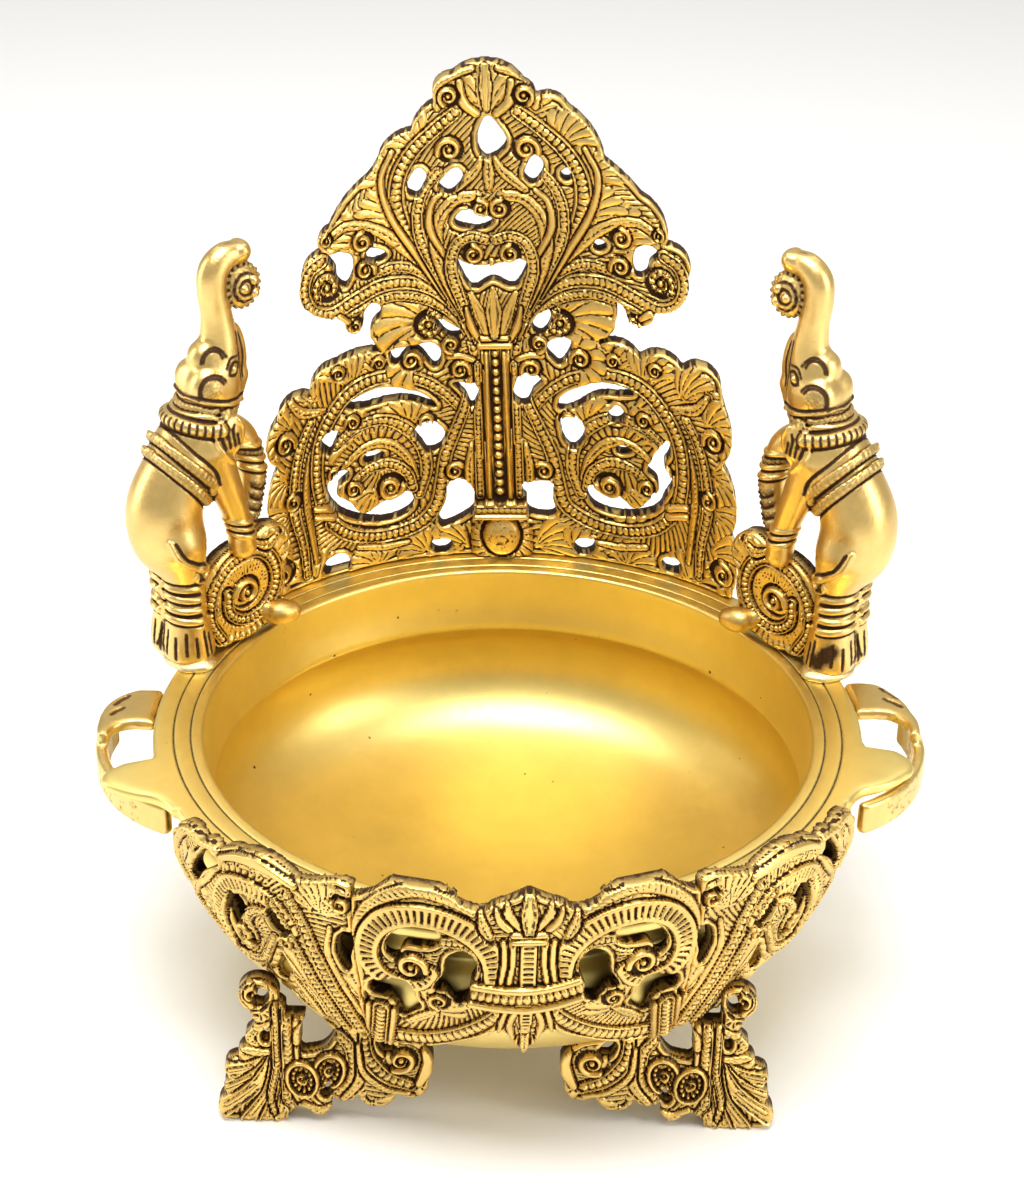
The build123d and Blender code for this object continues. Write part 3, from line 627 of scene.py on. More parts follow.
def crest_roundel(r, up):
    """Half of the lower part: a beaded ring around a scrolled leaf, and its leafy border."""
    r.fans((
        ((48, 85), 16, 60, 90, 6), ((62, 84), 17, 95, 100, 7), ((78, 80), 20, 75, 90, 7),
        ((90, 72), 17, 40, 160, 8), ((92, 52), 18, 10, 130, 7), ((92, 36), 18, -5, 110, 6),
        ((92, 16), 20, 10, 130, 7), ((14, 3), 19, 40, 100, 6), ((32, 2), 13, 80, 130, 6),
        ((54, 0), 14, 90, 150, 7), ((84, 0), 16, 100, 130, 7), ((52, 36), 17, -35, 100, 5),
        ((38, 62), 15, 100, 130, 6), ((60, 60), 15, 60, 150, 7), ((66, 44), 9, 0, 160, 4),
    ), swirl=24)
    r.beads([(87, 5), (88, 20), (91, 36), (90, 50), (86, 64), (80, 74)], 1.8, 2.8, 2.0, pitch=2.5)
    r.rope([(82, 10), (83.5, 24), (85, 40), (83, 54), (78, 66)], 1.2, 1.7, 1.2, pitch=2.2)
    r.beads([(13, 66), (21, 76), (32, 83.5), (46, 86.5), (59, 84), (69, 76), (76.5, 64), (79, 50),
             (78, 38), (75.5, 31)], 2.0, 3.3, 3.0, pitch=2.6, top=1.4)
    r.beads([(74, 26 + up), (66, 18.5 + up), (55, 14.5 + up), (43, 14.5 + up), (33, 18 + up),
             (26.5, 26), (24, 37), (22, 48), (17, 60), (12, 73), (9.5, 90)], 3.0, 3.3, 1.7, pitch=2.6,
            top=1.4)
    r.rope([(62, 11), (50, 8.5), (40, 9)], 1.2, 1.6, 1.0, pitch=2.2)
    r.beads([(70, 60), (60, 66), (48, 67.5), (38, 62), (32, 53), (30.5, 42), (34, 31)], 1.6, 2.9, 2.4,
            pitch=2.4)
    r.leaf([(66, 50), (56, 56.5), (46, 56), (38, 48), (35, 38)], 1.2, 2.2, 1.4)
    r.beads([(64, 40), (57, 45.5), (47, 47), (39, 42), (36.5, 34)], 1.3, 2.5, 2.0, pitch=2.2)
    r.volute((46, 36), 7.0, start=180, turns=1.7)
    r.volute((62.5, 38.5), 4.4, start=200, way=-1)
    r.volute((71, 47.5), 3.8, start=120, way=-1)
    r.volute((61, 69), 4.2, start=0)
    r.volute((29, 64), 4.4, start=-60)
    r.volute((18.5, 40), 5.2, start=160, way=-1)
    r.leaf([(12, 29), (12.5, 40), (11, 52)], 1.4, 2.0, 1.0)
    r.volute((93, 68), 6.2, start=200, way=-1)
    r.volute((91, 41), 5.0, way=-1)
    r.volute((99, 10.5), 6.6, start=100, way=-1, turns=1.6)
    r.leaf([(90, 86), (84, 79), (74, 77)], 1.3, 2.2, 1.2)
    r.volute((48, 93), 3.8, start=0)
    r.volute((66, 92), 3.8, start=30)
    for y in (33.5, 29.5):
        r.band([(72.5, y - 1.5), (76.5, y), (80.5, y + 1)], 1.5, top=1.9)


def crest_stem(r):
    """The stem up the middle, in a ribbed boss with a collar, and its crown of petals."""
    U, V = r.U, r.V
    for half, low, high, lift in ((5.6, 27, 96, 1.6), (11.2, 19, 27.5, 4.6)):
        inside = (np.abs(U) < half) & (V > low) & (V < high)
        r.H = np.where(inside, r.base + lift, r.H)
    bulge = np.clip(1 - (U / 13.2) ** 2 - (np.clip(V - 9, 0, None) / 11.5) ** 2, 0, 1)
    # a stippled urn in a dark hollow, with feathered leaves curling up on both sides of it
    urn = np.hypot(U / 7.6, (V - 10.5) / 8.6)
    leaves = np.abs(np.sin(np.arctan2(V - 10.5, U) * 12 + 2.2 * urn)) ** 0.7
    stipple = np.abs(np.sin(U * 3.1 + 1.3 * np.sin(V * 2.2))) * np.abs(np.sin(V * 3.3 + U))
    boss = r.base - 1.4 + 5.4 * np.sqrt(bulge)
    boss += np.where(urn < 1, 1.9 * np.sqrt(np.clip(1 - urn ** 2, 0, 1)) ** 0.6 - 0.35 * stipple,
                     np.where(urn < 1.2, -1.3, 1.2 * leaves - 0.6))
    r.H = np.where((bulge > 0) & (V < 19.5), np.maximum(r.H, boss), r.H)
    r.band([(-11, 20.3), (11, 20.3)], 1.2, lift=5.0, moat=0.5)
    r.band([(-11, 26.4), (11, 26.4)], 1.2, lift=5.0, moat=0.5)
    r.beads([(-10.5, 23.3), (10.5, 23.3)], 1.7, pitch=2.4, lift=4.6, moat=0.4)
    for side in (-1, 1):
        r.band([(4.3 * side, 28), (3.6 * side, 95)], 1.0, 0.9, lift=1.7, moat=0.5)
        r.beads([(8.4 * side, 28), (8.0 * side, 60), (7.2 * side, 88)], 1.7, 1.7, 1.3, pitch=2.2)
        r.petal([(2 * side, 99), (5.5 * side, 110), (9 * side, 119)], 1.4, 2.3, 1.0)
        r.band([(5 * side, 97), (9 * side, 104), (11 * side, 113)], 1.0, 1.6, 0.7)
    r.studs([(0, 28), (0, 94)], 2.6, 2.2, 1.9, pitch=4.2, lift=1.2, moat=0.4)
    r.band([(-6, 96.5), (6, 96.5)], 1.4, lift=1.2)
    r.band([(-5, 99.5), (5, 99.5)], 1.0, lift=0.6)
    r.petal([(0, 101), (0, 111), (0, 121)], 1.6, 3.2, 1.0, lift=0.5)
    r.band([(0, 128), (0, 133)], 1.2)
    r.leaf([(0, 163), (0, 176)], 1.4, 2.2, 1.2)
    r.petal([(0, 196), (0, 205), (0, 213)], 1.2, 2.4, 1.4, lift=0.4)


def make_crest(material):
    """The openwork crest; its right roundel sits a little higher in its ring."""
    r = Relief((-115, 115), (-1.5, 217), 0.48, CREST_THICKNESS)
    signed = solid_where(r, "back_crest", on_crest)
    fan = rays(r, (0, 84), 2.6)
    roundels = np.where(r.U < 0, rays(r, (-50, 48), 2.6), rays(r, (51, 50), 2.6))
    contour_ground(r, signed, np.where(r.V > 99, fan, roundels), seed=3)
    for side, up in ((-1, 0), (1, 2.5)):
        r.flip = side
        crest_roundel(r, up)
        crest_fan(r)
    r.flip = 1
    crest_stem(r)
    cast("crest_openwork", r, signed, on_crest, material, "back_crest")


# ---------------------------------------------------------------- apron

def on_apron(u, v, w):
    """From the apron's flat layout to the turned surface that hangs from the rim in front."""
    radius = np.interp(v, APRON_V, APRON_R) - APRON_THICKNESS + w
    angle = u / APRON_RADIUS + APRON_TURN
    return np.stack([radius * np.sin(angle), -radius * np.cos(angle), RIM + v], -1)


def apron_middle(r):
    """Half of the centre panel: two big beaded C scrolls tied together."""
    r.fans((
        ((36, -36), 15, 150, 130, 7), ((36, 12), 14, 90, 150, 12), ((58, -10), 14, 20, 120, 6),
        ((20, -44), 16, -60, 110, 8), ((48, -50), 16, -100, 100, 6), ((14, 4), 12, 60, 90, 5),
        ((44, -28), 12, -30, 130, 6),
    ), swirl=18)
    r.rope([(19, 11.5), (28, 16), (38, 18), (48, 14.5), (57, 6.5), (62, -6)], 1.6, 2.6, 1.2, pitch=2.3)
    r.beads([(14, -18), (15.5, -9), (21, -2.2), (29, -1.8)], 2.0, 2.5, 2.2, pitch=2.1)
    r.ladder([(11, -18), (12.5, -7), (18.5, 2), (28, 7.2), (39, 8.2), (48.5, 5), (54.5, -2.5),
              (56.5, -12), (53, -20), (45.5, -24), (38.5, -22), (34.5, -16.5)], 4.0, 4.6, 3.6,
             pitch=2.5, top=1.7)
    r.volute((40.5, -14.8), 6.8, start=190, way=-1, turns=1.4, top=2.2)
    r.beads([(9, -35), (15, -42), (25, -49.5), (37, -54.5), (51, -56.5)], 3.4, 4.2, 4.4, pitch=3.0,
            top=1.5)
    r.rope([(8, -40), (15, -48.5), (26, -55), (38, -59)], 1.0, 1.5, 1.1, pitch=1.9)
    r.volute((31.5, -31), 4.6, start=-60, top=1.8)
    r.leaf([(33, -37), (38, -41), (45, -46)], 1.2, 2.0, 1.2)
    for x, kind, wide in ((48.6, "rib", 1.2), (53.6, "beads", 3.3), (58.6, "rib", 1.2),
                          (62.0, "rib", 1.7)):
        r.band([(x, -39.5), (x + 2.2, -50), (x + 5.2, -62)], wide, wide, wide * 1.1, kind=kind,
               pitch=2.6, top=1.9, lift=0.9, moat=0.6)
    r.petal([(3, 4.5), (6.5, 10), (7.5, 15)], 1.5, 2.0, 0.9)
    r.band([(5, 3.5), (9.5, 8), (11.2, 13)], 1.0, 1.5, 0.8)
    r.leaf([(13, 1), (15.5, 6), (16.5, 11)], 1.3, 2.0, 0.9)
    r.band([(5.6, 2), (5.4, -8), (6.6, -18.5)], 1.0, 1.2, 1.2)
    r.band([(8.6, 0), (8.2, -9), (9.4, -18.5)], 1.0, 1.2, 1.0)
    r.band([(3.6, -34), (6.0, -42), (4.4, -52)], 1.2, 1.5, 0.8)
    r.band([(7.4, -34), (9.0, -41), (10.0, -47)], 1.0, 1.2, 0.8)
    r.band([(2.0, -50), (3.2, -55), (0.6, -61)], 1.0, 1.4, 0.8)


def apron_tie(r):
    """The band that ties the scrolls, the ribbed stalk and crown above it, the drop below."""
    r.ladder([(0, -1), (0, -19)], 3.0, pitch=2.4)
    r.band([(-5, 0.2), (5, 0.2)], 1.2, lift=0.6)
    r.band([(-5.5, 3), (5.5, 3)], 1.1, lift=0.4)
    r.petal([(0, 5), (0, 11), (0, 18.5)], 2.0, 3.1, 1.6, top=1.5)
    r.ladder([(0, -33), (0, -47)], 2.4, 2.2, 1.6, pitch=2.1)
    r.leaf([(0, -48), (0, -55), (0, -62)], 1.6, 2.0, 0.7)
    r.beads([(-20, -24.5), (-10, -26.4), (0, -27), (10, -25.2), (19.5, -22)], 3.9, pitch=2.7, top=1.7,
            lift=1.0)
    r.band([(-20, -19.6), (-10, -21.4), (0, -22), (10, -20.2), (19.5, -17)], 1.6, top=2.0, lift=1.2,
           moat=0.5)
    r.band([(-20, -29.4), (-10, -31.4), (0, -32.2), (10, -30.4), (19.5, -27)], 1.6, top=2.0, lift=1.2,
           moat=0.5)


def apron_side(r):
    """A side panel: diagonal beaded straps, a C scroll and its long tail by the handle."""
    r.fans((
        ((74, -3), 17, 95, 130, 9), ((86, -44), 20, 40, 120, 6), ((62, -40), 14, 60, 120, 5),
        ((150, -18), 16, 150, 170, 7), ((132, -30), 16, -60, 130, 6), ((62, 0), 12, 100, 130, 6),
        ((100, 4), 10, 90, 160, 8), ((110, -44), 14, -60, 130, 6), ((128, 0), 10, 80, 120, 5),
    ), swirl=18)
    r.flat([(84, 7), (98, 9.5), (110, 7.5), (119, 3)], 1.2, 2.2, 1.2, top=1.6)
    r.rope([(122, 4), (132, 2.2), (142, 1.6), (150, -6), (155, -15), (151, -26)], 1.4, 2.0, 1.2,
           pitch=2.4)
    r.leaf([(124, -4), (132, -13), (141, -22), (146, -30)], 1.8, 2.4, 1.4, pitch=2.6)
    r.beads([(96, -21), (101, -30), (108, -40), (120, -43), (134, -37), (146, -31)], 1.4, 2.4, 1.4,
            pitch=2.4)
    r.ladder([(85, -12), (90, -7.5), (98, -3.5), (108, -3.5), (117, -8), (123, -17), (126, -28),
              (124, -40)], 2.8, 4.0, 2.4, pitch=2.5, top=1.6)
    r.beads([(98, -11), (104, -13), (109, -19), (108, -27), (111, -34)], 1.6, 2.4, 2.4, pitch=2.2)
    r.volute((112.5, -28.5), 6.4, start=240, top=2.0)
    r.beads([(95, -4), (89, -14), (85, -27), (81, -41), (76, -56), (74, -62)], 1.6, 2.5, 2.5,
            pitch=2.5, top=1.5)
    r.beads([(88, 3), (82, -8), (78, -20), (74.5, -34), (70, -48), (66, -60)], 2.0, 3.1, 3.1,
            pitch=2.8, top=1.6)
    r.rope([(70.5, -6), (72.5, -18), (69, -32), (64, -46), (60, -56)], 0.9, 1.3, 1.0, pitch=2.0)
    r.leaf([(84, -60), (90, -48), (93, -40)], 1.2, 1.8, 1.0)
    r.volute((65.5, 6), 4.2, start=0, way=-1)
    r.volute((90, -21), 4.0, start=0)


def make_aprons(material):
    """The centre panel of the apron and the two side panels."""
    made = Relief((-74, 74), (-63.5, 20.5), 0.5, APRON_THICKNESS)
    signed = solid_where(made, "apron_centre", on_apron, deep=APRON_DEEP)
    back = true_back(made, "apron_centre", on_apron)
    scrolls = np.where(made.U < 0, rays(made, (-38, -10), 2.4), rays(made, (38, -10), 2.4))
    contour_ground(made, signed, scrolls, seed=5)
    for side in (-1, 1):
        made.flip = side
        apron_middle(made)
    made.flip = 1
    apron_tie(made)
    cast("apron_centre_scrolls", made, signed, on_apron, material, "apron_centre", back=back)
    for side, name in ((-1, "left"), (1, "right")):
        node = f"apron_{name}"
        low, high = sorted((side * 52, side * 165))
        made = Relief((low, high), (-66, 17), 0.5, APRON_THICKNESS, flip=side)
        signed = solid_where(made, node, on_apron, deep=APRON_DEEP)
        back = true_back(made, node, on_apron)
        contour_ground(made, signed, rays(made, (side * 106, -24), 2.4), seed=7 + side)
        apron_side(made)
        cast(f"{node}_scrolls", made, signed, on_apron, material, node, back=back)


# ---------------------------------------------------------------- legs

def leg_relief(r):
    """A fan toe with a beaded pillar, a pair of volutes and a long beaded scroll inward."""
    r.fans((
        ((70, -46), 12, -60, 150, 6), ((86, -72), 12, 0, 180, 6), ((46, -100), 9, -90, 200, 6),
        ((30, -88), 11, 200, 160, 6), ((64, -102), 9, -90, 160, 5), ((58, -96), 11, 220, 120, 7),
    ), swirl=18)
    fan_root = np.array((80.5, -78))
    for tip, wide in (((98, -87), 3.4), ((99.5, -95.5), 2.8), ((100, -104.5), 3.8), ((90.5, -109), 3.0),
                      ((84, -110), 3.0), ((78.5, -107.5), 2.6)):
        tip = np.array(tip, float)
        bend = (fan_root + tip) / 2 + (tip - fan_root)[::-1] * (0.10, -0.10)
        r.petal([fan_root, bend, tip], 0.9, wide * 0.75, wide, top=1.7, moat=0.6)
        r.band([bend, (bend + tip) / 2, tip - (tip - fan_root) * 0.08], 0.5, 0.8, 0.9, top=1.1,
               moat=0.2)
    r.band([(88, -47.5), (90, -52), (87.5, -57)], 1.2, 1.7, 1.2)
    r.volute((87, -51.5), 4.0, way=-1)
    r.ladder([(80, -57), (83.5, -61.5), (88, -61)], 1.6, 2.3, 1.4, pitch=1.9)
    r.rope([(81, -64), (85, -67), (89, -65.5)], 1.0, 1.5, 1.0, pitch=1.8)
    r.rope([(82, -78), (87, -78), (91.5, -76.5)], 1.0, 1.8, 1.4, pitch=2.0)
    r.beads([(79.3, -56), (79.6, -70), (79.5, -84), (82, -98), (81, -106)], 1.0, 1.5, 1.0, pitch=2.0)
    r.beads([(75.5, -56), (75.6, -70), (75.2, -84), (76.5, -98), (74, -103)], 1.4, 2.4, 1.4, pitch=2.3)
    r.band([(72, -58), (72.2, -70), (72, -80)], 0.9, 1.2, 0.9)
    r.rope([(78, -48), (66, -53), (55, -62), (48, -74)], 1.6, 2.4, 1.8, pitch=2.2)
    r.rope([(72, -73), (71, -67.5), (66, -64.4), (60.5, -65.5), (56.5, -70.5)], 1.5, 1.7, 1.5,
           pitch=2.0)
    r.beads([(57, -69), (53.5, -74), (52, -80), (52.5, -89), (58, -97)], 1.8, 2.6, 1.6, pitch=2.4)
    r.leaf([(50, -78), (49.5, -90), (56, -100)], 0.9, 1.8, 1.2, pitch=1.9)
    # two upright loops side by side, each a rib around a ring of beads and a curl
    turn = np.radians(np.arange(0, 361, 20))
    circle = np.stack([np.cos(turn), np.sin(turn)], 1)
    for x, y, tilt in ((60.6, -86, 12), (70.4, -90, -10)):
        c, s = math.cos(math.radians(tilt)), math.sin(math.radians(tilt))
        lean = np.array([[c, s], [-s, c]])
        r.dome((x, y), 4.6, 0.1)
        r.stroke(circle * (5.3, 7.8) @ lean + (x, y), 1.0, top=2.0)
        r.stroke(circle * (3.2, 5.6) @ lean + (x, y), 1.25, kind="studs", pitch=2.25, top=1.5, moat=0.3)
        r.volute((x, y + 0.8), 2.7, start=-90, turns=1.1, wide=0.25)
    r.rope([(60.5, -103), (65, -105), (70, -102)], 1.2, 1.8, 1.2, pitch=1.9)
    r.beads([(47.5, -68), (46.5, -79), (40, -88), (31, -92)], 1.8, 3.0, 2.2, pitch=2.7, top=1.7)
    r.rope([(50, -74), (48.5, -86), (41, -94), (32, -96)], 0.9, 1.3, 0.9, pitch=1.9)
    r.volute((34.5, -80.5), 6.6, start=-60, way=-1, top=2.0)
    r.flat([(25.5, -76), (24.6, -83), (28, -91)], 1.6, 2.6, 1.4, top=1.8)


def make_legs(material):
    """Four legs of one pattern, the rear ones facing backwards."""
    for side, x_name in ((-1, "left"), (1, "right")):
        for end, y_name in ((-1, "front"), (1, "rear")):
            node = f"leg_{y_name}_{x_name}"
            offset = -LEG_OFFSET if side > 0 else LEG_OFFSET

            def on_leg(u, v, w):
                y = end * (LEG_FACE - LEG_THICKNESS + w)
                return np.stack([side * (u + offset), y, RIM + v], -1)

            made = Relief((19, 104), (-110.2, -43), 0.42, LEG_THICKNESS)
            signed = solid_where(made, node, on_leg)
            # the scroll at a leg's top is round where its casting is cut square behind the apron
            scroll = np.minimum(np.hypot(made.U - 85.3, made.V + 53.3) - 7.3,
                                np.hypot(made.U - 80.5, made.V + 60.5) - 5.0)
            signed = np.where(made.V > -61.5, np.maximum(signed, scroll), signed)
            back = true_back(made, node, on_leg)
            contour_ground(made, signed, rays(made, (76, -72), 2.0), seed=20 + 3 * side + end)
            leg_relief(made)
            cast(f"{node}_scrolls", made, signed, on_leg, material, node, back=back)


# ---------------------------------------------------------------- elephants

def smooth_columns(points):
    """A curve through points of any number of columns, as short chords."""
    if len(points) < 3:
        return points
    rows = np.arange(len(points))
    return np.stack([smooth_path(np.column_stack([c, rows]))[:, 0] for c in points.T], 1)


def apart(cells, point):
    """Distance from each cell to a point."""
    return np.sqrt(sum((c - p) ** 2 for c, p in zip(cells, point)))


def beyond(cells, a, b):
    """Distance from each cell to the tapering limb between two stops of x, y, z, radius."""
    x, y, z = cells
    d = b[:3] - a[:3]
    t = np.clip(((x - a[0]) * d[0] + (y - a[1]) * d[1] + (z - a[2]) * d[2]) / (d @ d), 0, 1)
    return apart((x - t * d[0], y - t * d[1], z - t * d[2]), a) - a[3] - t * (b[3] - a[3])


class Sculpt:
    """A form built up in clay: solids joined smoothly, then chased on the surface."""

    def __init__(self, low, high, step):
        self.step = step * 1.0
        self.low = np.array(low, float)
        self.axes = [np.arange(a, b, self.step) for a, b in zip(low, high)]
        shape = [len(axis) for axis in self.axes]
        self.field = np.full(shape, 30.0, np.float32)
        self.dark = np.zeros(shape, np.float32)

    @classmethod
    def softened(cls, node, step, passes):
        """A CAD node with its edges rounded off, ready to be chased."""
        low, high = (np.array(corner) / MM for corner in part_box(node))
        made = cls(low - 2.5, high + 2.5, step)
        tree = cad_tree(node)
        metal = np.zeros(made.field.shape, np.float32)
        x_axis, y_axis, z_axis = made.axes
        for i, x in enumerate(x_axis):
            for j, y in enumerate(y_axis):
                z, crossings = z_axis[-1] + 1.0, []
                while True:
                    hit = tree.ray_cast(Vector((x, y, z)), Vector((0, 0, -1)))[0]
                    if hit is None:
                        break
                    crossings.append(hit.z)
                    z = hit.z - 0.02
                for top, bottom in zip(crossings[::2], crossings[1::2]):
                    filled = (np.minimum(z_axis + made.step / 2, top)
                              - np.maximum(z_axis - made.step / 2, bottom))
                    metal[i, j] += np.clip(filled, 0, made.step) / made.step
        spread = made.step * math.sqrt(passes / 2)
        made.field = (0.5 - blurred(metal, passes, (0, 1, 2))) * spread * math.sqrt(2 * math.pi)
        return made

    def near(self, low, high):
        """The cells in a box: their slices and their coordinates."""
        cut = []
        for axis, a, b in zip(self.axes, low, high):
            i, j = np.searchsorted(axis, (a, b))
            cut.append(slice(max(i - 1, 0), j + 1))
        x, y, z = (axis[c] for axis, c in zip(self.axes, cut))
        return tuple(cut), (x[:, None, None], y[None, :, None], z[None, None, :])

    def join(self, box, distance, blend):
        """Adds a solid, given by its distance, with a fillet about as wide as blend."""
        f = self.field[box]
        h = np.clip(0.5 + 0.5 * (f - distance) / blend, 0, 1)
        self.field[box] = f * (1 - h) + distance * h - blend * h * (1 - h)

    def limb(self, stops, blend=2.0):
        """A smoothly curved, tapering limb through stops of x, y, z, radius."""
        stops = smooth_columns(np.array(stops, float))
        wide = stops[:, 3].max() + blend + 2.5
        box, cells = self.near(stops[:, :3].min(0) - wide, stops[:, :3].max(0) + wide)
        gap = 1e3
        for a, b in zip(stops, stops[1:]):
            gap = np.minimum(gap, beyond(cells, a, b))
        self.join(box, gap, blend)

    def egg(self, centre, radii, lean=0.0, blend=4.0):
        """An ellipsoid that leans forward by so many degrees."""
        margin = max(radii) + blend + 2.5
        box, (x, y, z) = self.near(np.array(centre) - margin, np.array(centre) + margin)
        x, y, z = x - centre[0], y - centre[1], z - centre[2]
        c, s = math.cos(math.radians(lean)), math.sin(math.radians(lean))
        x, z = x * c - z * s, x * s + z * c
        scaled = [cell / radius for cell, radius in zip((x, y, z), radii)]
        rescaled = [cell / radius for cell, radius in zip(scaled, radii)]
        near, slope = (apart(cells, (0, 0, 0)) + 1e-6 for cells in (scaled, rescaled))
        self.join(box, near * (near - 1) / slope, blend)

    def sample(self, grid, points):
        """A grid's values at points between its cells."""
        g = (points - self.low) / self.step
        i = np.clip(np.floor(g).astype(int), 0, np.array(grid.shape) - 2)
        f = np.clip(g - i, 0, 1)
        total = 0
        for a, b, c in CORNERS:
            weight = (np.where(a, f[:, 0], 1 - f[:, 0]) * np.where(b, f[:, 1], 1 - f[:, 1])
                      * np.where(c, f[:, 2], 1 - f[:, 2]))
            total = total + weight * grid[i[:, 0] + a, i[:, 1] + b, i[:, 2] + c]
        return total

    def skin(self, path, pitch=0.8):
        """A path through the points, drawn onto the surface and evenly divided."""
        p = np.array(path, float)
        if len(p) > 2:
            p = smooth_columns(p)
        run = np.concatenate([[0], np.cumsum(np.linalg.norm(np.diff(p, axis=0), axis=1))])
        at = np.linspace(0, run[-1], max(2, int(run[-1] / pitch) + 1))
        p = np.stack([np.interp(at, run, p[:, k]) for k in range(3)], 1)
        for _ in range(7):
            value = self.sample(self.field, p)
            slope = np.stack([self.sample(self.field, p + e) - self.sample(self.field, p - e)
                              for e in np.eye(3) * self.step], 1)
            slope /= np.maximum(np.linalg.norm(slope, axis=1, keepdims=True), 1e-6)
            p = p - np.clip(value, -2.5, 2.5)[:, None] * slope
        return p

    def spot(self, point):
        """The nearest point on the surface, as an array of one."""
        return self.skin([point, point])[:1]

    def raise_dots(self, points, radius):
        """Half-sunk balls."""
        for p in points:
            box, cells = self.near(p - radius - 1.2, p + radius + 1.2)
            self.join(box, apart(cells, p) - radius, 0.35)

    def raise_cord(self, path, radius):
        """A half-sunk cord along a path."""
        points = self.skin(path)
        stops = np.column_stack([points, np.full(len(points), radius)])
        blend = 0.5
        margin = radius + blend + 2.5
        for a, b in zip(stops, stops[1:]):
            box, cells = self.near(np.minimum(a, b)[:3] - margin, np.maximum(a, b)[:3] + margin)
            self.join(box, beyond(cells, a, b), blend)

    def beads(self, path, radius, pitch):
        """A row of beads with a dark line on each side of it."""
        p = self.skin(path, pitch)
        self.shade(p, radius + 1.1, 0.75)
        self.raise_dots(p, radius)

    def shade(self, points, radius, amount):
        """Patina that fades out from each point."""
        for p in points:
            box, cells = self.near(p - radius, p + radius)
            fade = np.clip(1.6 * (1 - apart(cells, p) / radius), 0, 1)
            self.dark[box] = np.maximum(self.dark[box], amount * fade)

    def groove(self, path, radius=0.55, amount=0.95, taper=True):
        """A chased line, dark at the bottom."""
        p = self.skin(path, 0.5)
        share = np.linspace(0, 1, len(p))
        slim = np.clip(np.minimum(share, 1 - share) * 6, 0.35, 1) if taper else np.ones(len(p))
        for point, r in zip(p, radius * slim):
            box, cells = self.near(point - r - 0.8, point + r + 0.8)
            self.field[box] = np.maximum(self.field[box], r - apart(cells, point))
        self.shade(p, radius + 0.75, amount)

    def prick(self, point, radius, amount):
        """A punched dot."""
        self.groove(np.repeat(self.spot(point), 2, 0), radius, amount)

    def mesh(self, place, name, material, slot, node):
        """Makes the piece; patina gathers in its hollows."""
        self.field[[0, -1]] = self.field[:, [0, -1]] = self.field[:, :, [0, -1]] = 1.0
        verts, quads = surface_nets(self.field, self.low, (self.step,) * 3)
        skin = np.clip(self.field, -3, 3)
        hollow = blurred(skin, int(2.2 / self.step), (0, 1, 2)) - skin
        verts, faces = thinned(verts, quads, MAX_FACES)
        cavity = np.clip(-self.sample(hollow, verts) / 0.28, 0, 1)
        patina_and_shade = np.clip(0.75 * cavity + self.sample(self.dark, verts), 0, 1)
        piece(name, place(*verts.T), faces, patina_and_shade, material, slot, node)


def ring(centre, tilt, radius, start=0, end=360):
    """Points of a hoop round a limb, tilted forward by so many degrees, radius x and y."""
    a = np.radians(np.linspace(start, end, 33))
    c, s = math.cos(math.radians(tilt)), math.sin(math.radians(tilt))
    x, y = radius[0] * np.cos(a), radius[1] * np.sin(a)
    return np.stack([centre[0] + x * c, centre[1] + y, centre[2] - x * s], 1)


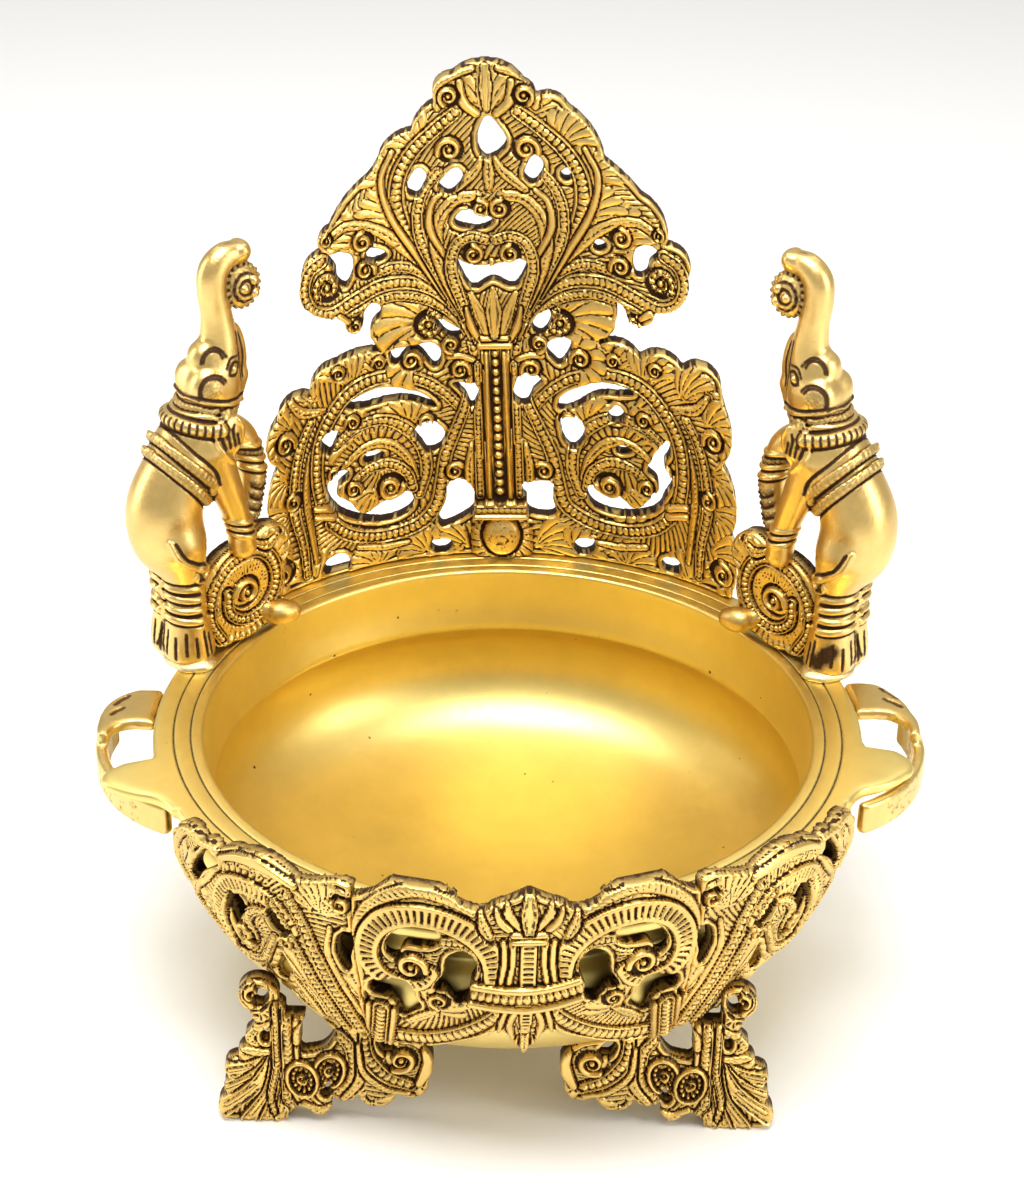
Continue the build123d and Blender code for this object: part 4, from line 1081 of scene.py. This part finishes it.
def elephant():
    """Standing on its hind feet, facing +x, its near side at -y; z is from the braze pad."""
    e = Sculpt((-26, -24, -0.6), (53, 24, 164), 0.52)
    for t in (-5, 5):
        e.limb([(0.2, t, 6, 8.9), (0.4, t, 19, 7.9), (0, t, 34, 8.2), (-3, t * 1.3, 50, 11.2)], 3)
        e.limb([(0.6, t, 2.2, 10.2), (0.5, t, 6, 9.6), (0.4, t, 13, 8.2)], 1.5)
    e.egg((-4.5, 0, 60), (14.5, 15.5, 24), 4)
    e.egg((3.5, 0, 79), (13.5, 14.5, 23), 22)
    e.egg((12, 0, 93), (12.5, 13.0, 14), 24)
    e.egg((18, 0, 107), (11.2, 11.2, 15.5), 12)
    for t in (-5.2, 5.2):
        e.egg((14.0, t, 111.6), (7.0, 6.8, 7.4), 0, 2.8)
    e.egg((16.4, 0, 121.0), (6.4, 6.9, 6.4), 0, 2.8)
    # trunk with its curled tip, lower lip, tusks
    e.limb([(20.5, 0, 112, 9.6), (22.8, 0, 124, 7.7), (22.4, 0, 136, 6.0), (21.0, 0, 146, 5.7),
            (21.8, 0, 154, 5.7), (26.5, 0, 158.6, 5.2), (33, 0, 159.2, 4.6)], 2.5)
    e.limb([(33, -2.6, 160.4, 2.9), (33.6, 2.6, 160.4, 2.9)], 1.2)
    e.egg((29.5, 0, 119.5), (4.4, 4.6, 12.5), -3, 1.0)
    e.limb([(27, 0, 104, 5.0), (30, 0, 110, 4.4)], 2.0)
    # forelegs: near one straight down onto the wheel, far one bent ahead
    e.limb([(13, -8, 86, 7.6), (18.5, -8.6, 68, 6.2), (22.8, -8.6, 54, 5.0), (24.2, -8.4, 45, 4.8)], 3)
    e.limb([(24.2, -8.4, 45.5, 5.3), (24.6, -8.4, 41.8, 5.5)], 1.2)
    e.limb([(14, 8, 87, 7.2), (26, 8, 85.5, 6.8), (34.5, 8, 80, 6.3), (38, 7.6, 71, 5.6),
            (39, 7, 62.5, 5.4), (36.5, 5, 53, 4.8), (33, 2, 46, 4.4)], 3)
    # shield ears, lying back under the collar
    for t in (-1, 1):
        e.egg((17.5, 12.6 * t, 92.5), (6.4, 2.6, 8.6), 18, 0.8)
        e.raise_cord([(11.5, 13.5 * t, 96), (12.5, 14.5 * t, 90), (16.5, 14.5 * t, 84),
                      (21.0, 14.2 * t, 81.5), (23.0, 13.4 * t, 87), (23.6, 13.0 * t, 94),
                      (21.4, 13.4 * t, 99)], 0.75)
        for k in (-3.4, -1.1, 1.2, 3.4):
            e.groove([(17.2 + k, 14.5 * t, 97.0 - abs(k)), (18.6 + k, 14.8 * t, 88.5)], 0.5)
    # knee pads and hocks
    for t in (-1, 1):
        e.raise_cord([(2, 15.5 * t, 42), (6.5, 13.5 * t, 40), (8.5, 11.5 * t, 36.5), (5.5, 14 * t, 34),
                      (1, 15.5 * t, 36), (1.5, 15.5 * t, 39)], 1.4)
        for k in range(3):
            e.groove([(4.5 - 1.7 * k, 15.0 * t, 40.0), (4.8 - 1.7 * k, 15.2 * t, 35.5)], 0.4)
        # anklets
        for k, z in enumerate((17.5, 22.0, 26.8, 31.5)):
            path = ring((0.4, 5 * t, z), 7 - 4 * (k % 2), (8.6, 8.6), 75 * t, 285 * t)
            e.raise_cord(path, (1.5, 1.1, 1.35, 0.95)[k])
        for z in (15.4, 19.8, 24.4, 29.2, 33.8):
            e.groove(ring((0.4, 5 * t, z), 6, (8.6, 8.6), 75 * t, 285 * t), 0.5, taper=False)
        # toes
        for n, a in enumerate((75, 100, 125, 152, 180, 205, 228, 250, 272, 60)):
            x, y = math.cos(math.radians(a)), math.sin(math.radians(a)) * t
            e.groove([(0.6 + 9.9 * x, 5 * t + 9.9 * y, 1.6 + (n % 3)),
                      (0.5 + 9.0 * x, 5 * t + 9.0 * y, 12.5 - 2 * (n % 2))], 0.6)
    # two ropes of the girth, a necklace and the collar under the caps
    for z, x in ((75.0, 2.0), (81.0, 4.5)):
        e.groove(ring((x, 0, z - 3.4), 49, (17, 15)), 0.6, taper=False)
        e.raise_cord(ring((x, 0, z - 1.9), 49, (17, 15)), 0.8)
        e.beads(ring((x, 0, z), 49, (17, 15)), 1.6, 2.6)
        e.raise_cord(ring((x, 0, z + 2.0), 49, (17, 15)), 0.8)
    e.groove(ring((6.4, 0, 85.4), 49, (17, 15)), 0.6, taper=False)
    for z, x, r in ((96.0, 13.2, 2.5), (100.8, 14.6, 1.2), (105.6, 15.5, 1.0)):
        e.raise_cord(ring((x, 0, z), 14, (13.5, 13)), r)
    for rib in zip(ring((12.8, 0, 93.6), 14, (15.5, 14.8)), ring((13.6, 0, 98.6), 14, (15.5, 14.8))):
        e.groove(rib, 0.42)
    for z, x in ((92.6, 12.6), (99.2, 14.2)):
        e.groove(ring((x, 0, z), 14, (13, 12.5)), 0.5, taper=False)
    e.beads(ring((15.2, 0, 103.0), 14, (13, 12.5)), 1.35, 2.3)
    e.groove(ring((15.8, 0, 107.3), 14, (13, 12.5)), 0.5, taper=False)
    for t in (-1, 1):
        # caps: crescents with stipple inside
        for x, y, z, r, first, last, points, line in (
            (12.8, 10.5, 111.5, 6.6, 20, 200, 12, 0.45), (12.8, 10.5, 111.5, 5.0, 20, 200, 12, 0.45),
            (16.5, 5.5, 121, 5.2, 10, 180, 10, 0.4), (16.5, 5.5, 121, 3.8, 10, 180, 10, 0.4),
        ):
            a = np.radians(np.linspace(first, last, points))
            e.groove(np.stack([x + r * np.cos(a), np.full(points, y * t), z + r * np.sin(a)], 1), line)
        for n in range(34):
            a, r = 2.4 * n, 0.72 * math.sqrt(n)
            e.prick((12.6 + r * math.cos(a), 11.0 * t, 112 + r * math.sin(a)), 0.32, 0.6)
        # eye with its lids, cheek lines, creases of the trunk
        e.groove([(21.2, 9.4 * t, 115.4), (22.6, 9.0 * t, 118.0), (24.6, 8.0 * t, 119.4),
                  (26.4, 6.8 * t, 118.4)], 0.5)
        e.groove([(21.2, 9.4 * t, 115.4), (23.6, 8.8 * t, 114.6), (25.6, 7.6 * t, 116.0),
                  (26.4, 6.8 * t, 118.4)], 0.5)
        e.raise_dots(e.spot((23.8, 8.6 * t, 116.8)), 1.2)
        e.groove([(20.6, 9.6 * t, 118.2), (23.0, 8.8 * t, 121.2), (26.2, 7.2 * t, 121.4)], 0.4)
        e.groove([(27.0, 5.2 * t, 130), (27.2, 5.8 * t, 120), (27.4, 6.6 * t, 108)], 0.5)
        e.groove([(29.6, 4.4 * t, 129), (30.4, 4.8 * t, 120), (29.6, 4.8 * t, 111)], 0.35)
        for k in range(9):
            z = 131 + 3.2 * k
            e.groove([(27.0, 3.4 * t, z), (28.0, 0.6 * t, z + 0.4)], 0.26, 0.5)
        # tail welt on the haunch
        e.groove([(-8, 14.5 * t, 55), (-5, 15.5 * t, 49), (0, 16 * t, 44.5), (4, 15 * t, 42.5)], 0.6)
        e.raise_cord([(-10, 13.5 * t, 56), (-7.5, 15 * t, 49.5), (-2, 16 * t, 43.5),
                      (3, 15.2 * t, 40.5)], 1.0)
    # anklets of the forelegs
    for x, z in ((22.8, 54), (23.5, 50.8), (24.0, 47.6)):
        e.raise_cord(ring((x, -8.5, z), 12, (5.2, 5.2)), 0.8)
    for x, z in ((23.1, 52.4), (23.8, 49.2)):
        e.groove(ring((x, -8.5, z), 12, (5.5, 5.5)), 0.4, taper=False)
    for x, z in ((35.8, 77), (38.2, 70.5), (38.8, 66.0)):
        e.raise_cord(ring((x, 7.5, z), 14, (6.0, 6.0)), 0.85)
        e.groove(ring((x + 0.2, 7.5, z - 1.8), 14, (6.0, 6.0)), 0.45, taper=False)
    e.beads(ring((37.4, 7.6, 73.6), 14, (6.2, 6.2)), 0.95, 2.1)
    for k in range(4):
        path = np.array([(43.5 - 1.4 * k, 5 - k, 62 - 4 * k), (40 - 1.2 * k, 1.5 - k, 59.5 - 4 * k),
                         (35 - k, 1 - k, 61.5 - 4 * k)])
        e.beads(path, 0.8, 1.8)
        e.groove(path - (0, 0, 2), 0.45)
    # beaded lotus scroll held in the trunk
    lotus = np.array((32.4, 0, 146.6))
    e.egg(lotus, (8.0, 6.2, 9.4), 0, 0.8)
    for radius, dots in ((7.4, 19), (4.4, 11)):
        for t in (-1, 1):
            a = np.radians(np.linspace(0, 360, dots, endpoint=False))
            hoop = np.stack([np.cos(a), np.zeros(dots), 1.15 * np.sin(a)], 1)
            spots = lotus + radius * hoop + (0, (6.6 - radius * 0.55) * t, 0)
            spots = np.concatenate([e.spot(point) for point in spots])
            e.shade(spots, 1.9, 0.8)
            e.raise_dots(spots, 0.95)
            loop = lotus + (radius - 1.6) * hoop + (0, 7.0 * t, 0)
            e.groove(np.vstack([loop, loop[:1]]), 0.5, taper=False)
    for x, z in ((35.6, 149.2), (35.9, 144.0), (31.2, 146.6)):
        for t in (-1, 1):
            e.raise_dots(e.spot((x, 6.5 * t, z)), 1.9)
    return e


def facing(side, heading, centre):
    """Where a piece of a mirrored pair goes: along its heading, across it, and up."""
    turn = heading if side < 0 else math.pi - heading
    c, s = math.cos(turn), math.sin(turn)

    def place(along, across, up):
        x, y = along * c - across * s, along * s + across * c
        return np.stack([side * centre[0] + x, centre[1] + y, centre[2] + up], -1)

    return place


def make_elephants(material):
    """A mirrored pair from one form; the right one has a stained hoof."""
    form = elephant()
    for side, name in ((-1, "elephant_left"), (1, "elephant_right")):
        place = facing(side, ELEPHANT_HEADING, (*ELEPHANT_FOOT, RIM + PAD))

        def stand(x, y, z):
            return place(x, -side * y, z)

        if side > 0:
            form.shade(np.array([(-2.0, -14.0, 7.0), (0.5, -14.5, 4.5), (-4.0, -13.0, 9.5)]), 6.0, 0.9)
        form.mesh(stand, f"{name}_figure", material, "figure_brass", name)


# ---------------------------------------------------------------- scroll wheels

def make_wheels(material):
    """Scroll wheels chased on both faces, each with a smooth knob at its foot."""
    for side, name in ((-1, "scroll_wheel_left"), (1, "scroll_wheel_right")):
        place = facing(side, WHEEL_HEADING, (*WHEEL_CENTRE[:2], RIM + WHEEL_CENTRE[2]))

        def on_wheel(u, v, w):
            return place(u, side * (w - WHEEL_THICKNESS / 2), v)

        def on_knob(x, y, z):
            return place(x, side * y, z)

        r = Relief((-24, 28), (-24, 28), 0.4, WHEEL_THICKNESS)
        signed = solid_where(r, name, on_wheel, deep=4.0)
        contour_ground(r, signed, rays(r, (0, 0), 2.2), seed=40 + side)
        depth = -signed
        teeth = np.abs(np.sin(np.arctan2(r.V - 1, r.U - 1) * 21))
        row = np.clip(1 - ((depth - 2.6) / 1.3) ** 2, 0, 1)
        r.H = np.where(row > 0, r.base - 0.6 + 1.5 * np.sqrt(row) * (0.25 + 0.75 * teeth ** 0.7), r.H)
        r.beads([(-12, -17), (-17.5, -6), (-15, 7), (-6, 15.5), (6, 17), (14, 10), (15.5, -1),
                 (9, -10), (-1, -11.5), (-8, -6), (-8.5, 3)], 2.0, 3.0, 2.2, pitch=2.3, top=1.8)
        r.volute((0.5, 0.5), 7.5, start=180, way=-1, top=2.4)
        r.leaf([(18, 21), (13, 17), (6, 20)], 1.2, 2.2, 1.2)
        bevel = 1.8
        inward = bevel - np.clip(depth, 0, bevel)
        edge = r.base - (bevel - np.sqrt(np.clip(bevel ** 2 - inward ** 2, 0, None)))
        back = WHEEL_THICKNESS - np.minimum(r.H, edge)
        cast(f"{name}_disc", r, signed, on_wheel, material, name, back=back)

        knob = Sculpt((1, -3, -24), (30, 19, -3), 0.5)
        knob.limb([(7, 0, -10, 2.6), (11, 3.5, -12, 4.2), (15, 7.5, -13.2, 5.0),
                   (19, 10, -13.0, 3.6)], 1.5)
        knob.egg((16.0, 8.5, -13.2), (7.0, 5.0, 4.9), 14, 1.5)
        knob.mesh(on_knob, f"{name}_knob", material, "cast_brass", name)


# ---------------------------------------------------------------- handles and braze

def as_is(x, y, z):
    return np.stack([x, y, z], -1)


def make_handles(material):
    """The CAD straps with soft edges, two short slots in each root and hammered bands."""
    random = np.random.default_rng(8)
    for name, side, slots in (
        ("handle_left", -1, [[(-145.5, 12.5), (-150, 6.0)], [(-146.5, 4), (-150.5, -1)]]),
        ("handle_right", 1, [[(144.5, 27), (150, 20.5)], [(145, 19.5), (151, 14)]]),
    ):
        strap = Sculpt.softened(name, 0.5, 9)
        low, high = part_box(name)
        for a, b in slots:
            top = high[2] / MM
            middle = ((a[0] + b[0]) / 2 + side * 0.8, (a[1] + b[1]) / 2, top)
            strap.groove([(*a, top), middle, (*b, top)], 0.95)
        for _ in range(150):
            y = random.uniform(low[1] / MM + 4, -4 if side < 0 else 8)
            z = random.uniform(low[2] / MM + 1, high[2] / MM - 1)
            pit = (side * (152 - 0.012 * (y + 14) ** 2), y, z)
            strap.prick(pit, random.uniform(0.3, 0.75), 0.5)
        strap.mesh(as_is, f"{name}_strap", material, "handle_brass", name)


def make_pads(material):
    """The braze: a puddle under each hoof, and lumps run out on the rim in front of them."""
    for side, name in ((-1, "braze_pad_left"), (1, "braze_pad_right")):
        low, high = (np.array(corner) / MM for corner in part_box(name))
        random = np.random.default_rng(20 + side)
        pool = Sculpt(low - 2, high + (2, 2, 3), 0.5)
        for forward, reach in ((-4.5, 9.6), (3.5, 8.2)):
            x, y = side * (ELEPHANT_FOOT[0] + 0.6 * forward), ELEPHANT_FOOT[1] + 0.8 * forward
            pool.egg((x, y, low[2] + 0.8), (reach, reach, 3.0), 0, 1.0)
        for _ in range(9):
            inward, forward = random.uniform(2, 12), random.uniform(6, 13)
            x, y = side * (ELEPHANT_FOOT[0] - inward), ELEPHANT_FOOT[1] - forward
            radii = (*random.uniform(2.4, 4.4, 2), random.uniform(0.8, 2.2))
            pool.egg((x, y, low[2] + 0.4), radii, 0, 3.0)
        box, (_, _, z) = pool.near(low - 2, high + 3)
        pool.field[box] = np.maximum(pool.field[box], low[2] - z)
        pool.mesh(as_is, f"{name}_pool", material, "braze", name)


# ---------------------------------------------------------------- brass

def brass(name, colour, dark, roughness, grain, grain_depth, blotch, scratches=0.0, pits=False):
    """Aged brass: bright where it is rubbed, brown where the attribute of patina and painted shade
    says.
    """
    material = bpy.data.materials.new(name)
    material.use_nodes = True
    tree = material.node_tree

    def wire(node, inputs):
        for key, value in inputs.items():
            if isinstance(value, bpy.types.NodeSocket):
                tree.links.new(value, node.inputs[key])
            else:
                node.inputs[key].default_value = value

    def add(kind, inputs, **settings):
        made = tree.nodes.new(f"ShaderNode{kind}")
        for key, value in settings.items():
            setattr(made, key, value)
        wire(made, inputs)
        return made.outputs

    def maths(operation, *values):
        return add("Math", dict(enumerate(values)), operation=operation)[0]

    where = add("TexCoord", {})["Object"]
    broad = add("TexNoise", {"Vector": where, "Scale": 38.0, "Detail": 5.0, "Roughness": 0.6})
    fine = add("TexNoise", {"Vector": where, "Scale": grain, "Detail": 6.0, "Roughness": 0.65})["Fac"]
    tones = tree.nodes.new("ShaderNodeValToRGB")
    low, high = tones.color_ramp.elements
    low.position, high.position = 0.36, 0.68
    low.color, high.color = [c * (1 - blotch) for c in colour] + [1], [*colour, 1]
    wire(tones, {"Fac": broad["Fac"]})
    # the patina and painted shade are broken up by the grain, so their edge is never clean
    patina_and_shade = add("Attribute", {}, attribute_name="patina_and_shade")["Fac"]
    total = maths("ADD", patina_and_shade, maths("MULTIPLY_ADD", fine, 0.5, -0.25))
    if pits:
        # small casting pits, in some of the cells only
        cells = add("TexVoronoi", {"Vector": where, "Scale": 75.0})
        near = maths("LESS_THAN", cells["Distance"], 0.05)
        total = maths("ADD", total, maths("MULTIPLY", near, cells["Color"]))
    amount = add("MapRange", {"Value": total, "From Min": 0.30, "From Max": 0.85})["Result"]
    mix = add("Mix", {"Factor": amount, 6: tones.outputs["Color"], 7: (*dark, 1)}, data_type="RGBA")
    metal = add("MapRange", {"Value": amount, "To Min": 1.0, "To Max": 0.45})["Result"]
    rough = add("MapRange", {"Value": fine, "From Min": 0.3, "From Max": 0.7,
                             "To Min": roughness[0], "To Max": roughness[1]})["Result"]
    height = fine
    if scratches:
        stretch = add("Mapping", {"Vector": where, "Scale": (1.0, 14.0, 5.0),
                                  "Rotation": (0.3, 0.2, 0.7)})
        lines = add("TexNoise", {"Vector": stretch["Vector"], "Scale": 120.0, "Detail": 3.0})
        height = maths("MULTIPLY_ADD", lines["Fac"], scratches, fine)
    bump = add("Bump", {"Strength": 0.55, "Distance": grain_depth, "Height": height})
    wire(tree.nodes["Principled BSDF"], {
        "Base Color": mix[2], "Metallic": metal, "Normal": bump["Normal"],
        "Roughness": maths("MULTIPLY_ADD", amount, 0.3, rough)})
    return material


CAST = brass("cast_brass", (0.90, 0.64, 0.23), (0.060, 0.026, 0.007), (0.29, 0.44),
             grain=620.0, grain_depth=0.00030, blotch=0.22)
TURNED = brass("turned_brass", (0.88, 0.70, 0.26), (0.10, 0.06, 0.02), (0.37, 0.45),
               grain=420.0, grain_depth=0.00004, blotch=0.08, scratches=0.4, pits=True)
HANDLE = brass("handle_brass", (0.90, 0.66, 0.26), (0.12, 0.06, 0.02), (0.28, 0.40),
               grain=500.0, grain_depth=0.0002, blotch=0.2)
FIGURE = brass("figure_brass", (0.92, 0.66, 0.26), (0.070, 0.032, 0.010), (0.27, 0.40),
               grain=700.0, grain_depth=0.00018, blotch=0.2)
BRAZE = brass("braze", (0.90, 0.74, 0.42), (0.10, 0.07, 0.03), (0.30, 0.5),
              grain=500.0, grain_depth=0.0006, blotch=0.3)


# ---------------------------------------------------------------- camera, light and floor

def soft_light(name, place, target, size, watts):
    lamp = bpy.data.lights.new(name, "AREA")
    lamp.shape, lamp.size, lamp.size_y = "RECTANGLE", size[0], size[1]
    lamp.energy = watts
    obj = bpy.data.objects.new(name, lamp)
    bpy.context.scene.collection.objects.link(obj)
    obj.location = place
    obj.rotation_euler = (Vector(target) - obj.location).to_track_quat("-Z", "Y").to_euler()


CAMERA_PLACE = (0.00069, -0.83122, 0.53444 + RIM * MM)
CAMERA_DOWN, CAMERA_ROLL = math.radians(30.098), math.radians(0.974)
PAPER = (0.92, 0.915, 0.90, 1)


def studio():
    """The camera at the photograph's angle, soft lights all round, and a pale floor."""
    scene = bpy.context.scene
    camera = bpy.data.cameras.new("camera")
    camera.sensor_width, camera.lens = 36.0, 78.0
    camera.clip_end = 20.0
    holder = bpy.data.objects.new("camera", camera)
    scene.collection.objects.link(holder)
    holder.location = CAMERA_PLACE
    level = Vector((0, math.cos(CAMERA_DOWN), -math.sin(CAMERA_DOWN))).to_track_quat("-Z", "Y")
    holder.rotation_mode = "QUATERNION"
    holder.rotation_quaternion = level @ Quaternion((0, 0, 1), CAMERA_ROLL)
    scene.camera = holder

    world = bpy.data.worlds.new("studio")
    world.use_nodes = True
    sky = world.node_tree.nodes["Background"].inputs
    sky["Color"].default_value = (1.0, 0.99, 0.97, 1)
    sky["Strength"].default_value = 0.5
    scene.world = world
    middle = (0, 0, 0.12)
    soft_light("key", (-0.1, -0.30, 1.4), middle, (1.0, 0.6), 15)
    soft_light("top", (0.0, 0.7, 1.3), middle, (1.8, 0.6), 4.0)
    soft_light("right", (1.1, -0.5, 0.6), middle, (0.4, 1.0), 5.5)
    soft_light("left", (-1.2, 0.1, 0.5), middle, (0.3, 1.0), 3.5)

    corners = np.array([(-4, -4, 0), (4, -4, 0), (4, 4, 0), (-4, 4, 0)])
    floor = mesh_from("floor", corners, np.array([[0, 1, 2, 3]]))
    obj = bpy.data.objects.new("floor", floor)
    scene.collection.objects.link(obj)
    pale = bpy.data.materials.new("pale_floor")
    pale.use_nodes = True
    paint = pale.node_tree.nodes["Principled BSDF"].inputs
    paint["Base Color"].default_value = PAPER
    paint["Roughness"].default_value = 0.7
    floor.materials.append(pale)
    scene.view_settings.view_transform = "Standard"
    scene.view_settings.look = "Medium High Contrast"


studio()
make_bowl(TURNED)
make_crest(CAST)
make_aprons(CAST)
make_legs(CAST)
make_elephants(FIGURE)
make_wheels(CAST)
make_handles(HANDLE)
make_pads(BRAZE)
# the hidden CAD nodes take the finish of the pieces that stand for them
FINISHES = (("bowl", TURNED), ("pad", BRAZE), ("elephant", FIGURE), ("", CAST))
for name, node in NODES.items():
    finish = next(material for word, material in FINISHES if word in name)
    for slot in node.material_slots:
        slot.material = finish
